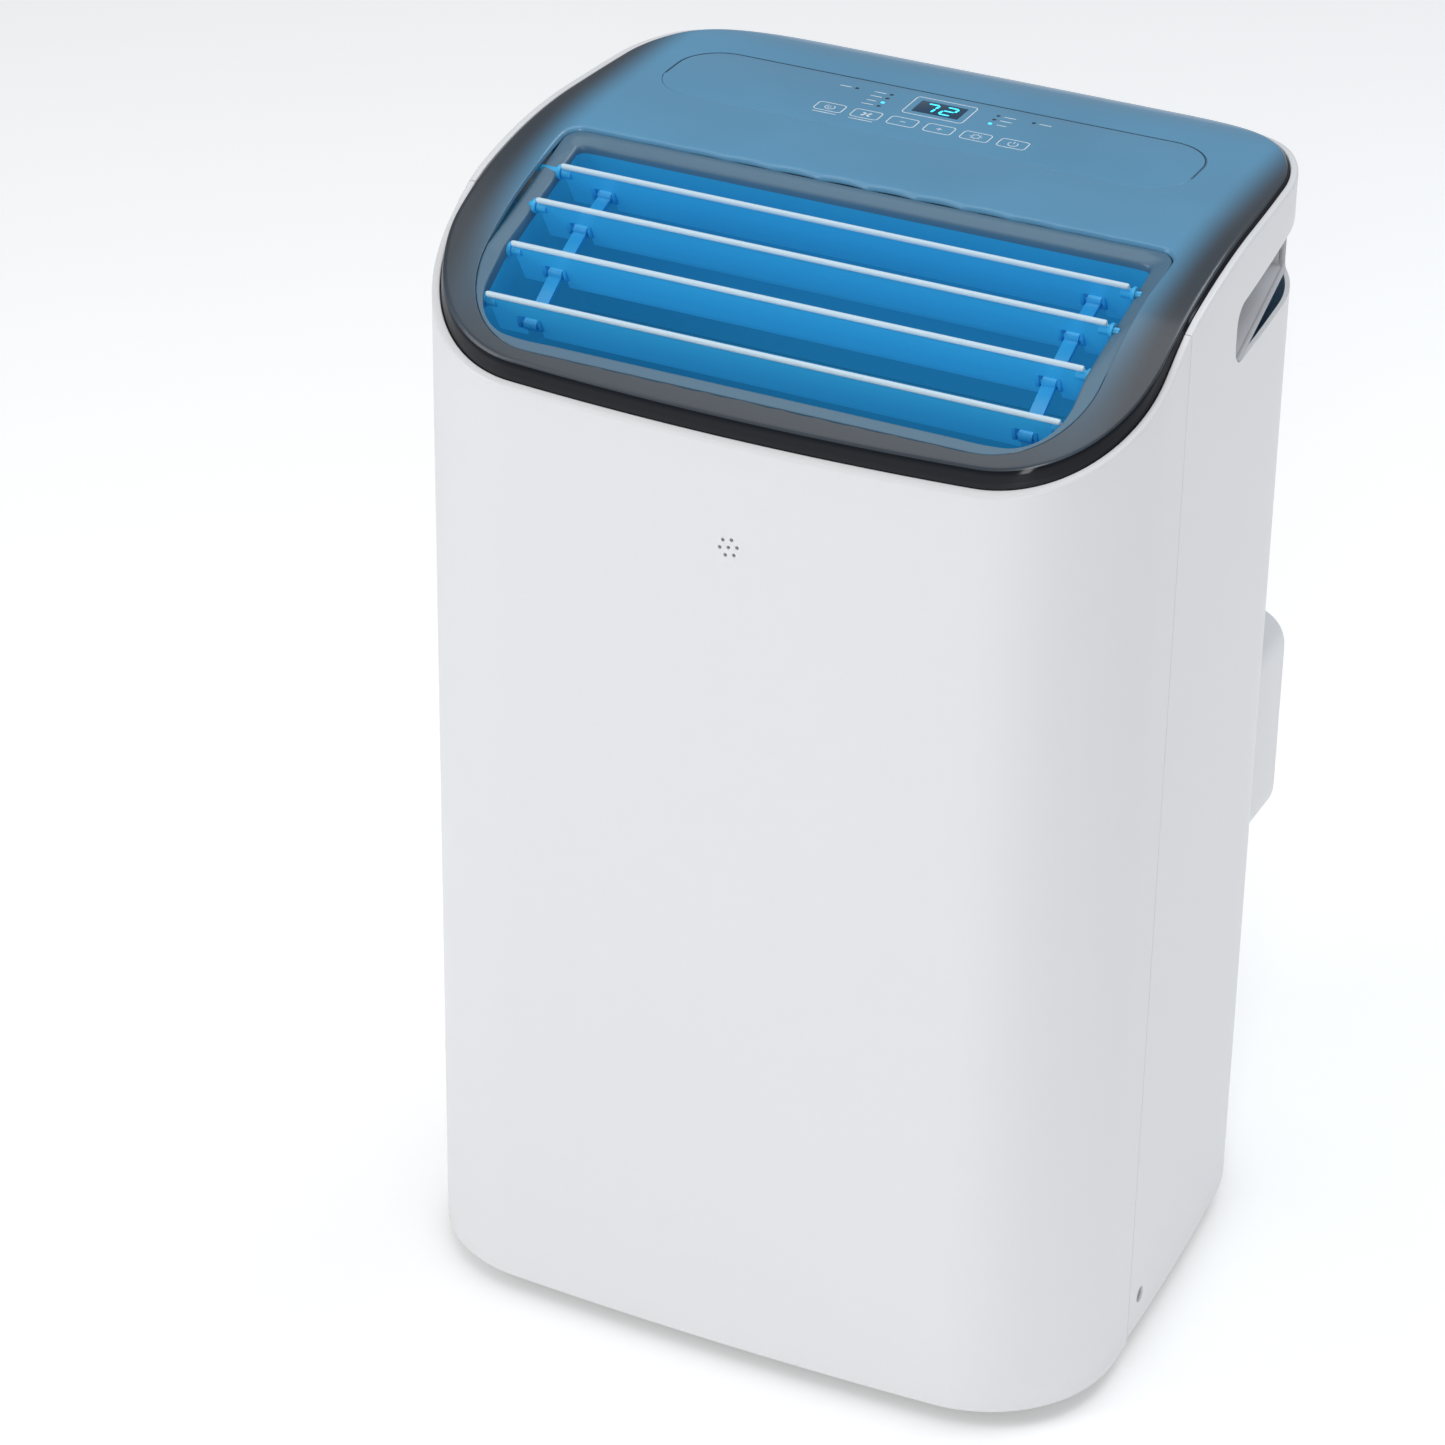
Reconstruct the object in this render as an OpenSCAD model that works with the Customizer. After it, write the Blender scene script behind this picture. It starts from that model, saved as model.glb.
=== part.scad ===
// Portable air conditioner: cabinet, top outlet with four swinging louvres, cooling circuit,
// two blowers, castors and rear air filters. Millimetres, +Z up, front towards -Y.

/* [Cabinet] */
// Width over the side walls
body_w = 440; // [390:1:530]
// Depth of the cabinet from the front face to the rear face
body_d = 374; // [340:1:450]
// Height of the cabinet from its lower edge to the control deck
body_h = 689; // [640:1:830]
// Height of the cabinet's lower edge above the floor
floor_gap = 12; // [8:1:14]
// Wall thickness of the covers
wall = 2.8; // [2:0.1:4]
// Radius of the bow of the front face
front_bow_r = 2740; // [1500:10:6000]
// Radius of the two front corners
front_corner_r = 84.5; // [60:0.5:100]
// Radius of the slight crown of the side faces
side_crown_r = 2220; // [1500:10:6000]
// Radius of the two rear corners
rear_corner_r = 102; // [80:1:120]
// Radius of the bow of the rear face
rear_bow_r = 2500; // [1500:10:6000]
// Distance of the side seam behind the front face
seam_setback = 110; // [90:1:130]
// Gap between the front and rear covers at the seam
seam_gap = 0.6; // [0.4:0.1:1.5]
// Step by which the rear cover ends above the front cover
rear_cover_lift = 4; // [2:0.5:6]
// Width of the white rim around the top frame
rim_w = 4.5; // [3.5:0.1:6]

/* [Top] */
// Length of the level control deck in front of the rear face
deck_len = 157; // [140:1:180]
// Radius of the gentle curve in front of the deck
crown_r = 350; // [250:5:450]
// Slope at the end of the gentle curve, in degrees
crown_a = 16; // [10:1:20]
// Radius of the tighter curve at the outlet
shoulder_r = 200; // [150:5:260]
// Steepest slope of the top, in degrees
slope_a = 32.5; // [28:0.5:38]
// Radius of the hollow sweep towards the front edge
sweep_r = 1200; // [900:50:3000]
// Radius of the round-off at the rear edge
rear_round_r = 130; // [100:5:200]
// Length of the round-off at the rear edge
rear_round_len = 57; // [40:1:70]
// Height of the dark side band at the front
band_front = 10.5; // [5:0.5:12]
// Height of the dark side band towards the rear
band_rear = 2.2; // [1:0.1:4]
// Thickness of the top frame's plate
frame_t = 3; // [2.5:0.1:4]
// Thickness of the top frame's skirt
skirt_t = 2.5; // [2:0.1:3]
// Fit gap around panels that drop into a seat
panel_fit = 0.3; // [0.2:0.05:0.5]

/* [Outlet] */
// Half width of the outlet inside the bezel
outlet_half_w = 176; // [150:1:185]
// Distance from the front face to the outlet's front edge
outlet_front = 23.5; // [20:0.5:30]
// Depth of the outlet from its front edge to its rear edge
outlet_depth = 138.5; // [130:0.5:150]
// Width of the bezel at the sides and the rear
bezel_w = 10.5; // [8:0.5:12]
// Width of the bezel at the front
bezel_front_w = 6.5; // [5:0.5:8]
// Corner radius of the outlet at the front
outlet_front_r = 30; // [20:1:36]
// Corner radius of the outlet at the rear
outlet_rear_r = 5; // [3:0.5:8]
// Wall of the outlet duct
duct_wall = 2.5; // [2:0.1:3]
// Length of the duct below the front edge of the outlet
duct_len = 38; // [30:1:50]

/* [Louvres] */
// Number of louvre blades
louvre_count = 4; // [4:1:4]
// Distance from the outlet's rear edge to the first blade's edge
louvre_first = 27.4; // [24:0.1:30]
// Spacing of the blades from front to back
louvre_pitch = 30; // [28:0.1:31]
// Chord of one blade
blade_chord = 32; // [26:1:34]
// Thickness of a blade
blade_t = 2; // [1.6:0.1:2.6]
// Radius of the bead along a blade's outer edge
bead_r = 1.7; // [1.4:0.1:2]
// Lean of the blades from the vertical at rest, in degrees
blade_lean = 30; // [20:1:40]
// End play between a blade and the duct wall
blade_end_gap = 3; // [2:0.5:6]
// Distance of the pivot from the blade's outer edge
pivot_drop = 6; // [5:0.5:8]
// Radius of a blade's pivot pin
pivot_r = 2.2; // [1.8:0.1:2.5]
// Distance between the pivot and the link pin
crank_r = 15; // [12:0.5:18]
// Radius of the link pins
link_pin_r = 1.5; // [1.2:0.1:1.8]
// Radial clearance of a running fit
run_fit = 0.05; // [0.03:0.01:0.1]
// Extra radial clearance of the link on the second to the fourth blade
open_pivot_gap = 0.4; // [0.3:0.05:0.6]
// Distance of each link from the middle of the outlet
link_x = 150; // [120:1:160]
// Width of a link strip
link_w = 8; // [6:0.5:9]
// Thickness of a link strip
link_t = 2.6; // [2.2:0.1:3]
// Radius of the eyes of a link
eye_r = 3.4; // [3.2:0.1:3.8]
// Width of the notch that the link runs in
notch_w = 11; // [10:0.5:12]

/* [Controls] */
// Sideways place of the middle of the control field
control_x = -6; // [-20:1:20]
// Width of the glossy control inlay
inlay_w = 331; // [280:1:340]
// Depth of the glossy control inlay
inlay_d = 70; // [60:1:80]
// Distance from the rear face to the inlay's rear edge
inlay_rear = 69; // [66:1:76]
// Corner radius of the inlay
inlay_r = 28; // [10:1:30]
// Thickness of the inlay
inlay_t = 1; // [0.8:0.1:1.4]
// Width of the display window
display_w = 29.5; // [24:0.5:36]
// Depth of the display window
display_d = 17.5; // [14:0.5:20]
// Distance from the inlay's rear edge to the display's middle
display_setback = 21; // [16:0.5:30]
// Width of the control board
board_w = 200; // [160:1:240]
// Depth of the control board
board_d = 60; // [50:1:66]

/* [Sides and rear] */
// Height of the grip pocket's lower edge above the cabinet's lower edge
grip_z = 616; // [560:1:640]
// Height of the grip pocket at its front end
grip_front_h = 36; // [30:1:42]
// Height of the grip pocket at its rear end
grip_rear_h = 46; // [36:1:50]
// Depth of the grip pocket into the cabinet
grip_depth = 26; // [20:1:30]
// Distance of the grip pocket's rear end in front of the rear face
grip_rear_gap = 47; // [40:1:60]
// Length of the grip pocket
grip_len = 140; // [110:1:150]
// Radius of the grip pocket's rounded front end
grip_r = 12; // [8:1:14]
// Sideways place of the exhaust outlet
exhaust_x = 112; // [104:1:114]
// Height of the exhaust outlet above the cabinet's lower edge
exhaust_z = 280; // [272:1:282]
// Width of the exhaust housing
exhaust_w = 152; // [148:1:154]
// Height of the exhaust housing
exhaust_h = 144; // [142:1:148]
// Projection of the exhaust housing behind the rear face
exhaust_reach = 28; // [24:1:40]
// Corner radius of the exhaust housing
exhaust_corner_r = 22; // [15:1:30]
// Radius of the round exhaust port
port_r = 62; // [55:1:64]
// Height of the cover screws above the cabinet's lower edge
screw_z = 26; // [20:1:40]
// Distance of the side screws behind the seam
screw_setback = 18; // [14:1:24]
// Radius of the side screws' recess
screw_recess_r = 5.2; // [4.6:0.1:6]
// Radius of a hole of the sensor pattern
sensor_hole_r = 1.15; // [0.8:0.05:1.5]
// Spacing of the sensor holes
sensor_pitch = 5.3; // [4.5:0.1:6]
// Height of the sensor pattern above the cabinet's lower edge
sensor_z = 539; // [480:1:560]

/* [Rear grilles and filters] */
// Half width of the upper intake grille
upper_half_w = 146; // [120:1:150]
// Height of the upper grille's lower edge above the cabinet's lower edge
upper_z = 386; // [384:1:400]
// Height of the upper grille
upper_h = 210; // [160:1:212]
// Left end of the lower grille, from the middle
lower_left = 146; // [120:1:150]
// Right end of the lower grille, from the middle
lower_right = 18; // [0:1:24]
// Height of the lower grille's lower edge above the cabinet's lower edge
lower_z = 66; // [60:1:90]
// Height of the lower grille
lower_h = 240; // [180:1:250]
// Spacing of the grille's slots
slot_pitch = 8; // [7:0.5:12]
// Height of one grille slot
slot_h = 5; // [4:0.5:6]
// Thickness of a filter
filter_t = 4; // [3:0.5:5]
// Distance of the filters in front of the rear face
filter_setback = 20; // [18:0.5:26]
// Width of a filter's frame bars
filter_bar = 7; // [5:0.5:10]

/* [Base] */
// Height of the base plate's underside above the floor
base_z = 40; // [38:1:46]
// Thickness of the base plate
base_t = 4; // [3:0.5:6]
// Height of the tray wall above the base plate
tray_h = 16; // [12:1:20]
// Distance of a castor's stem from the side face
caster_side = 72; // [66:1:90]
// Distance of a castor's stem from the front or rear face
caster_end = 66; // [62:1:90]
// Radius of a castor wheel
wheel_r = 15; // [13:0.5:16]
// Width of a castor wheel
wheel_w = 15; // [12:0.5:18]
// Trail of a castor wheel behind its stem
caster_trail = 11; // [8:0.5:14]
// Radius of a castor's stem
stem_r = 4; // [3:0.5:5]
// Radius of a castor's axle
axle_r = 2.5; // [2:0.5:3]

/* [Inside] */
// Height of the middle deck above the cabinet's lower edge
mid_z = 346; // [345:1:352]
// Thickness of the middle deck
mid_t = 4; // [3:0.5:6]
// Radius of the cross-flow wheel
cross_r = 52; // [46:1:54]
// Half length of the cross-flow wheel
cross_half = 160; // [140:1:164]
// Distance of the cross-flow wheel's axis behind the front face
cross_setback = 167; // [160:1:176]
// Height of the cross-flow wheel's axis above the middle deck
cross_rise = 138; // [132:1:146]
// Number of blades of the cross-flow wheel
cross_blades = 30; // [24:1:36]
// Radius of the exhaust wheel
exhaust_wheel_r = 60; // [50:1:62]
// Number of blades of the exhaust wheel
exhaust_blades = 28; // [20:1:36]
// Inner width of the exhaust scroll
scroll_w = 124; // [116:1:126]
// Radius of the compressor
comp_r = 52; // [46:1:56]
// Height of the compressor's shell
comp_h = 190; // [160:1:210]
// Depth of the two heat exchangers
coil_t = 30; // [24:1:34]
// Radius of the copper tubes
tube_r = 4; // [3:0.5:5]
// Radius of the fan shafts
shaft_r = 4; // [3:0.5:5]

/* [Hidden] */
$fn = 48;

half_w = body_w/2;
front_y = -body_d/2;
rear_y = body_d/2;
low_z = floor_gap;
top_z = floor_gap + body_h;
seam_y = front_y + seam_setback;
cut = 1;

// ---- plan outline of the cabinet: five tangent arcs on each side ----
bow_a = asin((half_w - front_corner_r)/(front_bow_r - front_corner_r));
function rear_turn(b) =
    asin((half_w - side_crown_r*(1 - cos(b)) - rear_corner_r*cos(b))/(rear_bow_r - rear_corner_r));
function side_turn(c) =
    asin((body_d - front_bow_r*(1 - cos(bow_a)) - front_corner_r*cos(bow_a) - rear_corner_r*cos(c)
        - rear_bow_r*(1 - cos(c)))/(side_crown_r - rear_corner_r));
function settle(b, rounds) = rounds == 0 ? b : settle(side_turn(rear_turn(b)), rounds - 1);
side_a = settle(5, 9);
rear_a = rear_turn(side_a);
headings = [0, bow_a, 90, 90 + side_a, 180 - rear_a, 180];
radii = [front_bow_r, front_corner_r, side_crown_r, rear_corner_r, rear_bow_r];
steps = [3, 10, 5, 10, 3];

// Points of one arc that starts at p; inset is how far the outline is moved inwards
function arc_run(p, k, inset) =
    [for (i = [1:steps[k]])
        let (a0 = headings[k], a = a0 + (headings[k + 1] - a0)*i/steps[k], r = radii[k] - inset)
        [p.x + r*(sin(a) - sin(a0)), p.y + r*(cos(a0) - cos(a))]];
function run_from(list, k, inset) =
    k == len(radii) ? list : run_from(concat(list, arc_run(list[len(list) - 1], k, inset)), k + 1, inset);
function half_outline(inset) = run_from([[0, front_y + inset]], 0, inset);
function outline(inset) =
    let (h = half_outline(inset), n = len(h))
    concat([for (i = [0:n - 2]) h[i]], [[0, rear_y - inset]], [for (i = [n - 2:-1:1]) [-h[i].x, h[i].y]]);
// Half width of the outline at depth y on the rear half
function rear_half_w(y, inset) =
    let (r = rear_corner_r - inset, cy = rear_y - rear_corner_r*cos(rear_a) - rear_bow_r*(1 - cos(rear_a)))
    rear_bow_r*sin(rear_a) - rear_corner_r*sin(rear_a) + sqrt(r*r - (y - cy)*(y - cy));

// ---- side profile of the top: deck, two convex arcs, hollow sweep and rear round-off ----
deck_y = rear_y - deck_len;
crown_y = deck_y - crown_r*sin(crown_a);
crown_z = top_z - crown_r*(1 - cos(crown_a));
shoulder_y = crown_y - shoulder_r*(sin(slope_a) - sin(crown_a));
shoulder_z = crown_z - shoulder_r*(cos(crown_a) - cos(slope_a));
round_y = rear_y - rear_round_len;
function deck_at(y) =
    y > round_y ? top_z - rear_round_r + sqrt(rear_round_r*rear_round_r - (y - round_y)*(y - round_y))
    : y > deck_y ? top_z
    : y > crown_y ? top_z - crown_r + sqrt(crown_r*crown_r - (deck_y - y)*(deck_y - y))
    : y > shoulder_y ? let (u = shoulder_r*sin(crown_a) + crown_y - y)
        crown_z - shoulder_r*cos(crown_a) + sqrt(shoulder_r*shoulder_r - u*u)
    : let (s = sin(slope_a) - (shoulder_y - y)/sweep_r)
        shoulder_z - sweep_r*(sqrt(1 - s*s) - cos(slope_a));
function smooth(t) = let (u = min(max(t, 0), 1)) u*u*(3 - 2*u);
function band_at(y) = band_front + (band_rear - band_front)*smooth((y - shoulder_y)/(crown_y - shoulder_y));
function rim_at(y) = deck_at(y) - band_at(y);
profile_steps = 34;
profile_y = [for (i = [0:profile_steps]) front_y - cut + (body_d + 2*cut)*i/profile_steps];

// ---- outlet outlines ----
outlet_front_y = front_y + outlet_front;
outlet_rear_y = outlet_front_y + outlet_depth;
function corner_pts(cx, cy, r, a0, a1, n) = [for (i = [0:n]) let (a = a0 + (a1 - a0)*i/n) [cx + r*cos(a), cy + r*sin(a)]];
function slot_pts(hw, yf, yr, rf, rr) = concat(
    corner_pts(hw - rf, yf + rf, rf, -90, 0, 8), corner_pts(hw - rr, yr - rr, rr, 0, 90, 5),
    corner_pts(rr - hw, yr - rr, rr, 90, 180, 5), corner_pts(rf - hw, yf + rf, rf, 180, 270, 8));
// Outlet outline grown by g on every side
function outlet_pts(g) =
    slot_pts(outlet_half_w + g, outlet_front_y - g, outlet_rear_y + g, outlet_front_r + g, outlet_rear_r + g);
// Outer outline of the bezel, shrunk by s
function bezel_pts(s) = slot_pts(outlet_half_w + bezel_w - s, outlet_front_y - bezel_front_w + s,
    outlet_rear_y + bezel_w - s, outlet_front_r + bezel_w + 12, outlet_rear_r + 6);

// ---- louvre line: the blades' edges follow the deck ----
function blade_y(i) = outlet_rear_y - louvre_first - louvre_pitch*i;
function blade_z(i) = deck_at(blade_y(i)) - bead_r;
function pivot_y(i) = blade_y(i) + pivot_drop*sin(blade_lean);
function pivot_z(i) = blade_z(i) - pivot_drop*cos(blade_lean);
function pin_y(i) = blade_y(i) + (pivot_drop + crank_r)*sin(blade_lean);
function pin_z(i) = blade_z(i) - (pivot_drop + crank_r)*cos(blade_lean);

// ---- heights inside ----
plate_z = base_z + base_t;
mid_low = low_z + mid_z;
mid_top = mid_low + mid_t;
duct_low = rim_at(outlet_front_y) - duct_len;
fan_y = front_y + cross_setback;
fan_z = mid_top + cross_rise;
caster_x = half_w - caster_side;
caster_y = body_d/2 - caster_end;
port_z = low_z + exhaust_z;
blower_x = exhaust_x - scroll_w/2;
blower_y = fan_y + 10;
blower_z = port_z - port_r;
filter_y = rear_y - filter_setback;
coil_y = rear_y - 50 - coil_t;
comp_x = -(half_w - 115);
comp_y = 20;
comp_z = plate_z + 12;

// ---- shared solids ----
// The cabinet's depth is centred with the exhaust housing, so the origin is under the middle
module unit() {
    translate([0, -exhaust_reach/2, 0]) children();
}
module prism(inset, z0, z1) {
    translate([0, 0, z0]) linear_extrude(z1 - z0) polygon(outline(inset));
}
module ring(t0, t1, z0, z1) {
    difference() {
        prism(t0, z0, z1);
        prism(t1, z0 - cut, z1 + cut);
    }
}
// Everything below a line that lies drop under the deck or under the rim
module under_deck(drop) {
    rotate([90, 0, 90]) linear_extrude(body_w + 2*cut, center = true)
        polygon(concat([[front_y - cut, 0]], [for (y = profile_y) [y, deck_at(y) - drop]], [[rear_y + cut, 0]]));
}
module under_rim(drop) {
    rotate([90, 0, 90]) linear_extrude(body_w + 2*cut, center = true)
        polygon(concat([[front_y - cut, 0]], [for (y = profile_y) [y, rim_at(y) - drop]], [[rear_y + cut, 0]]));
}
module column(points, z0, z1) {
    translate([0, 0, z0]) linear_extrude(z1 - z0) polygon(points);
}
module block(x0, x1, y0, y1, z0, z1) {
    translate([x0, y0, z0]) cube([x1 - x0, y1 - y0, z1 - z0]);
}
module rod_x(x0, x1, y, z, r) {
    translate([x0, y, z]) rotate([0, 90, 0]) cylinder(h = x1 - x0, r = r);
}
module rod_y(x, y0, y1, z, r) {
    translate([x, y0, z]) rotate([-90, 0, 0]) cylinder(h = y1 - y0, r = r);
}
module rod_z(x, y, z0, z1, r) {
    translate([x, y, z0]) cylinder(h = z1 - z0, r = r);
}
module round_box_y(cx, cz, w, h, r, y0, y1) {
    translate([cx, y1, cz]) rotate([90, 0, 0]) linear_extrude(y1 - y0)
        polygon(concat(corner_pts(w/2 - r, h/2 - r, r, 0, 90, 6), corner_pts(r - w/2, h/2 - r, r, 90, 180, 6),
            corner_pts(r - w/2, r - h/2, r, 180, 270, 6), corner_pts(w/2 - r, r - h/2, r, 270, 360, 6)));
}
module tube_run(points, r) {
    for (i = [0:len(points) - 2]) {
        d = points[i + 1] - points[i];
        translate(points[i]) rotate([0, acos(d.z/norm(d)), atan2(d.y, d.x)]) cylinder(h = norm(d), r = r);
    }
    for (p = points) translate(p) sphere(r = r + 0.3);
}

// ---- covers ----
rim_depth = 10;
ledge_drop = 14;
ledge_t = 3;
ledge_w = 9;
module cover_skin(z0) {
    intersection() {
        union() {
            ring(0, wall, z0, top_z + cut);
            difference() {
                ring(0, rim_w, low_z, top_z + cut);
                under_rim(rim_depth);
            }
            difference() {
                intersection() {
                    ring(wall/2, ledge_w, low_z, top_z + cut);
                    under_rim(ledge_drop);
                }
                under_rim(ledge_drop + ledge_t);
            }
        }
        under_rim(0);
    }
}
function sensor_holes() = concat([[0, 0]], [for (a = [0:60:300]) [cos(a + 10), sin(a + 10)]*sensor_pitch]);
module front_cover() color("white") unit() {
    difference() {
        cover_skin(low_z);
        block(-body_w, body_w, seam_y - seam_gap/2, body_d, -cut, top_z + 2*cut);
        for (p = sensor_holes())
            rod_y(p.x, front_y - cut, front_y + wall + cut, low_z + sensor_z + p.y, sensor_hole_r);
    }
}

screw_y = seam_y + screw_setback;
screw_x = half_w - 0.4;
screw_depth = 3;
drain_r = 6;
drain_x = -60;
upper_drain_z = mid_top + 9;
lower_drain_z = plate_z + 9;
gland_z = low_z + 90;
gland_r = 8;
module grip_shape(grow) {
    y1 = rear_y - grip_rear_gap + grow;
    y0 = y1 - grip_len - 2*grow;
    z0 = low_z + grip_z - grow;
    zf = z0 + grip_front_h + 2*grow;
    zr = z0 + grip_rear_h + 2*grow;
    lean = atan2(zr - zf, y1 - y0);
    polygon(concat(corner_pts(y0 + grip_r, z0 + grip_r, grip_r, 180, 270, 6), [[y1, z0], [y1, zr]],
        corner_pts(y0 + grip_r, zf - grip_r, grip_r, 90 + lean, 180, 6)));
}
module grip_cut(grow) {
    rotate([90, 0, 90]) linear_extrude(body_w + 10, center = true) grip_shape(grow);
}
// The shell behind the seam is two side panels and a rear panel that meet behind the grips
joint_y = rear_y - grip_rear_gap + 7;
module side_panel(s) {
    difference() {
        union() {
            cover_skin(low_z + rear_cover_lift);
            rod_x(min(s*(screw_x - 8), s*(screw_x - 0.8)), max(s*(screw_x - 8), s*(screw_x - 0.8)),
                screw_y, low_z + screw_z, screw_recess_r + 2.2);
        }
        block(-body_w, body_w, -body_d, seam_y + seam_gap/2, -cut, top_z + 2*cut);
        block(-body_w, body_w, joint_y, body_d, -cut, top_z + 2*cut);
        block(s > 0 ? -body_w : 0, s > 0 ? 0 : body_w, -body_d, body_d, -cut, top_z + 2*cut);
        grip_cut(panel_fit);
        round_box_y(exhaust_x, port_z, exhaust_w + 2*panel_fit, exhaust_h + 2*panel_fit, exhaust_corner_r,
            rear_y - 100, rear_y + cut);
        rod_x(min(s*(screw_x - screw_depth), s*(half_w + 2)), max(s*(screw_x - screw_depth), s*(half_w + 2)),
            screw_y, low_z + screw_z, screw_recess_r);
        rod_x(min(s*(screw_x - 12), s*screw_x), max(s*(screw_x - 12), s*screw_x),
            screw_y, low_z + screw_z, 1.9);
    }
}
module side_panel_left() color("white") unit() side_panel(-1);
module side_panel_right() color("white") unit() side_panel(1);
module rear_cover() color("white") unit() {
    difference() {
        cover_skin(low_z + rear_cover_lift);
        block(-body_w, body_w, -body_d, joint_y, -cut, top_z + 2*cut);
        round_box_y(exhaust_x, port_z, exhaust_w + 2*panel_fit, exhaust_h + 2*panel_fit, exhaust_corner_r,
            rear_y - 100, rear_y + cut);
        block(-upper_half_w, upper_half_w, rear_y - 40, rear_y + cut, low_z + upper_z, low_z + upper_z + upper_h);
        block(-lower_left, lower_right, rear_y - 40, rear_y + cut, low_z + lower_z, low_z + lower_z + lower_h);
        for (z = [[upper_z, upper_h], [lower_z, lower_h]])
            block(-half_w, -upper_half_w - 6, filter_y - filter_t/2 - panel_fit, filter_y + filter_t/2 + panel_fit,
                low_z + z[0] + 2 - panel_fit, low_z + z[0] + z[1] - 2 + panel_fit);
        for (z = [upper_drain_z, lower_drain_z]) rod_y(drain_x, rear_y - 20, rear_y + cut, z, drain_r + panel_fit);
        rod_y(exhaust_x, rear_y - 30, rear_y + cut, gland_z, gland_r);
    }
}
module cover_screws() color("dimgray") unit() {
    for (s = [-1, 1]) {
        rod_x(min(s*(screw_x - screw_depth), s*(screw_x - 1)), max(s*(screw_x - screw_depth), s*(screw_x - 1)),
            screw_y, low_z + screw_z, 4);
        rod_x(min(s*(screw_x - 14), s*(screw_x - screw_depth)), max(s*(screw_x - 14), s*(screw_x - screw_depth)),
            screw_y, low_z + screw_z, 1.9);
    }
}

// ---- top frame, bezel, inlay ----
bezel_top = 0.4;
bezel_t = 2;
bezel_flange = 4;
inlay_y1 = rear_y - inlay_rear;
inlay_y0 = inlay_y1 - inlay_d;
function inlay_pts(s) = [for (p = slot_pts(inlay_w/2 - s, inlay_y0 + s, inlay_y1 - s, inlay_r, inlay_r)) [p.x + control_x, p.y]];
display_y = inlay_y1 - display_setback;
module top_frame() color([0.33, 0.38, 0.44]) unit() {
    difference() {
        intersection() {
            prism(rim_w + panel_fit, low_z, top_z + cut);
            under_deck(0);
        }
        intersection() {
            prism(rim_w + panel_fit + skirt_t, low_z, top_z + cut);
            under_deck(frame_t);
        }
        under_rim(ledge_drop);
        column(bezel_pts(0), low_z, top_z + cut);
        difference() {
            column(inlay_pts(0), top_z - 60, top_z + cut);
            under_deck(inlay_t);
        }
        block(control_x - display_w/2, control_x + display_w/2, display_y - display_d/2, display_y + display_d/2,
            top_z - 20, top_z + cut);
    }
}
module outlet_bezel() color([0.36, 0.43, 0.5]) unit() {
    difference() {
        union() {
            difference() {
                intersection() {
                    column(bezel_pts(panel_fit), low_z, top_z);
                    under_deck(bezel_top);
                }
                under_deck(frame_t);
            }
            difference() {
                intersection() {
                    column(bezel_pts(-bezel_flange), low_z, top_z);
                    under_deck(frame_t);
                }
                under_deck(frame_t + bezel_t);
            }
        }
        column(outlet_pts(0), low_z - cut, top_z + cut);
    }
}
module outlet_duct() color([0.1, 0.35, 0.62]) unit() {
    difference() {
        intersection() {
            column(outlet_pts(duct_wall), duct_low, top_z);
            under_deck(frame_t + bezel_t);
        }
        column(outlet_pts(0), duct_low - cut, top_z + cut);
        for (i = [0:louvre_count - 1])
            rod_x(-half_w, half_w, pivot_y(i), pivot_z(i), pivot_r + run_fit);
    }
}
module control_inlay() color([0.3, 0.36, 0.42]) unit() {
    difference() {
        intersection() {
            column(inlay_pts(panel_fit), top_z - 60, top_z);
            under_deck(0);
        }
        under_deck(inlay_t);
        block(control_x - display_w/2, control_x + display_w/2, display_y - display_d/2, display_y + display_d/2,
            top_z - 20, top_z + cut);
    }
}
module display_window() color("black") unit() {
    block(control_x - display_w/2 + panel_fit, control_x + display_w/2 - panel_fit,
        display_y - display_d/2 + panel_fit, display_y + display_d/2 - panel_fit, top_z - frame_t, top_z);
}
board_drop = 9;
module control_board() color("darkgreen") unit() {
    y0 = inlay_y1 - board_d;
    block(control_x - board_w/2, control_x + board_w/2, y0, inlay_y1, top_z - board_drop - 1.6, top_z - board_drop);
    block(control_x - display_w/2, control_x + display_w/2, display_y - display_d/2, display_y + display_d/2,
        top_z - board_drop, top_z - frame_t);
    for (x = [-1, 1], y = [y0 + 8, inlay_y1 - 8])
        rod_z(control_x + x*(board_w/2 - 8), y, top_z - board_drop, top_z - frame_t, 3);
}

// ---- louvres and their two links ----
blade_half = outlet_half_w - blade_end_gap;
notch_top = pivot_drop + crank_r - 7;
module blade(i, left_pin) {
    right_pin = blade_half + blade_end_gap + duct_wall + cut;
    translate([0, blade_y(i), blade_z(i)]) rotate([blade_lean, 0, 0]) {
        difference() {
            union() {
                block(-blade_half, blade_half, -blade_t/2, blade_t/2, -blade_chord, 0);
                rod_x(-blade_half, blade_half, 0, 0, bead_r);
                for (s = [-1, 1], e = [-1, 1])
                    block(s*link_x + e*(notch_w/2 + 1) - 1, s*link_x + e*(notch_w/2 + 1) + 1, -3.2, 3.2,
                        -pivot_drop - crank_r - 3.2, -pivot_drop - crank_r + 3.2);
            }
            for (s = [-1, 1])
                block(s*link_x - notch_w/2, s*link_x + notch_w/2, -10, 10, -blade_chord - cut, -notch_top);
        }
        for (s = [-1, 1])
            rod_x(s*link_x - notch_w/2 - 0.5, s*link_x + notch_w/2 + 0.5, 0, -pivot_drop - crank_r, link_pin_r);
        rod_x(-left_pin, 4 - blade_half, 0, -pivot_drop, pivot_r);
        rod_x(blade_half - 4, right_pin, 0, -pivot_drop, pivot_r);
    }
}
module louvre_1() color([0.75, 0.86, 0.94]) unit() blade(0, motor_pin - wall_x);
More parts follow.
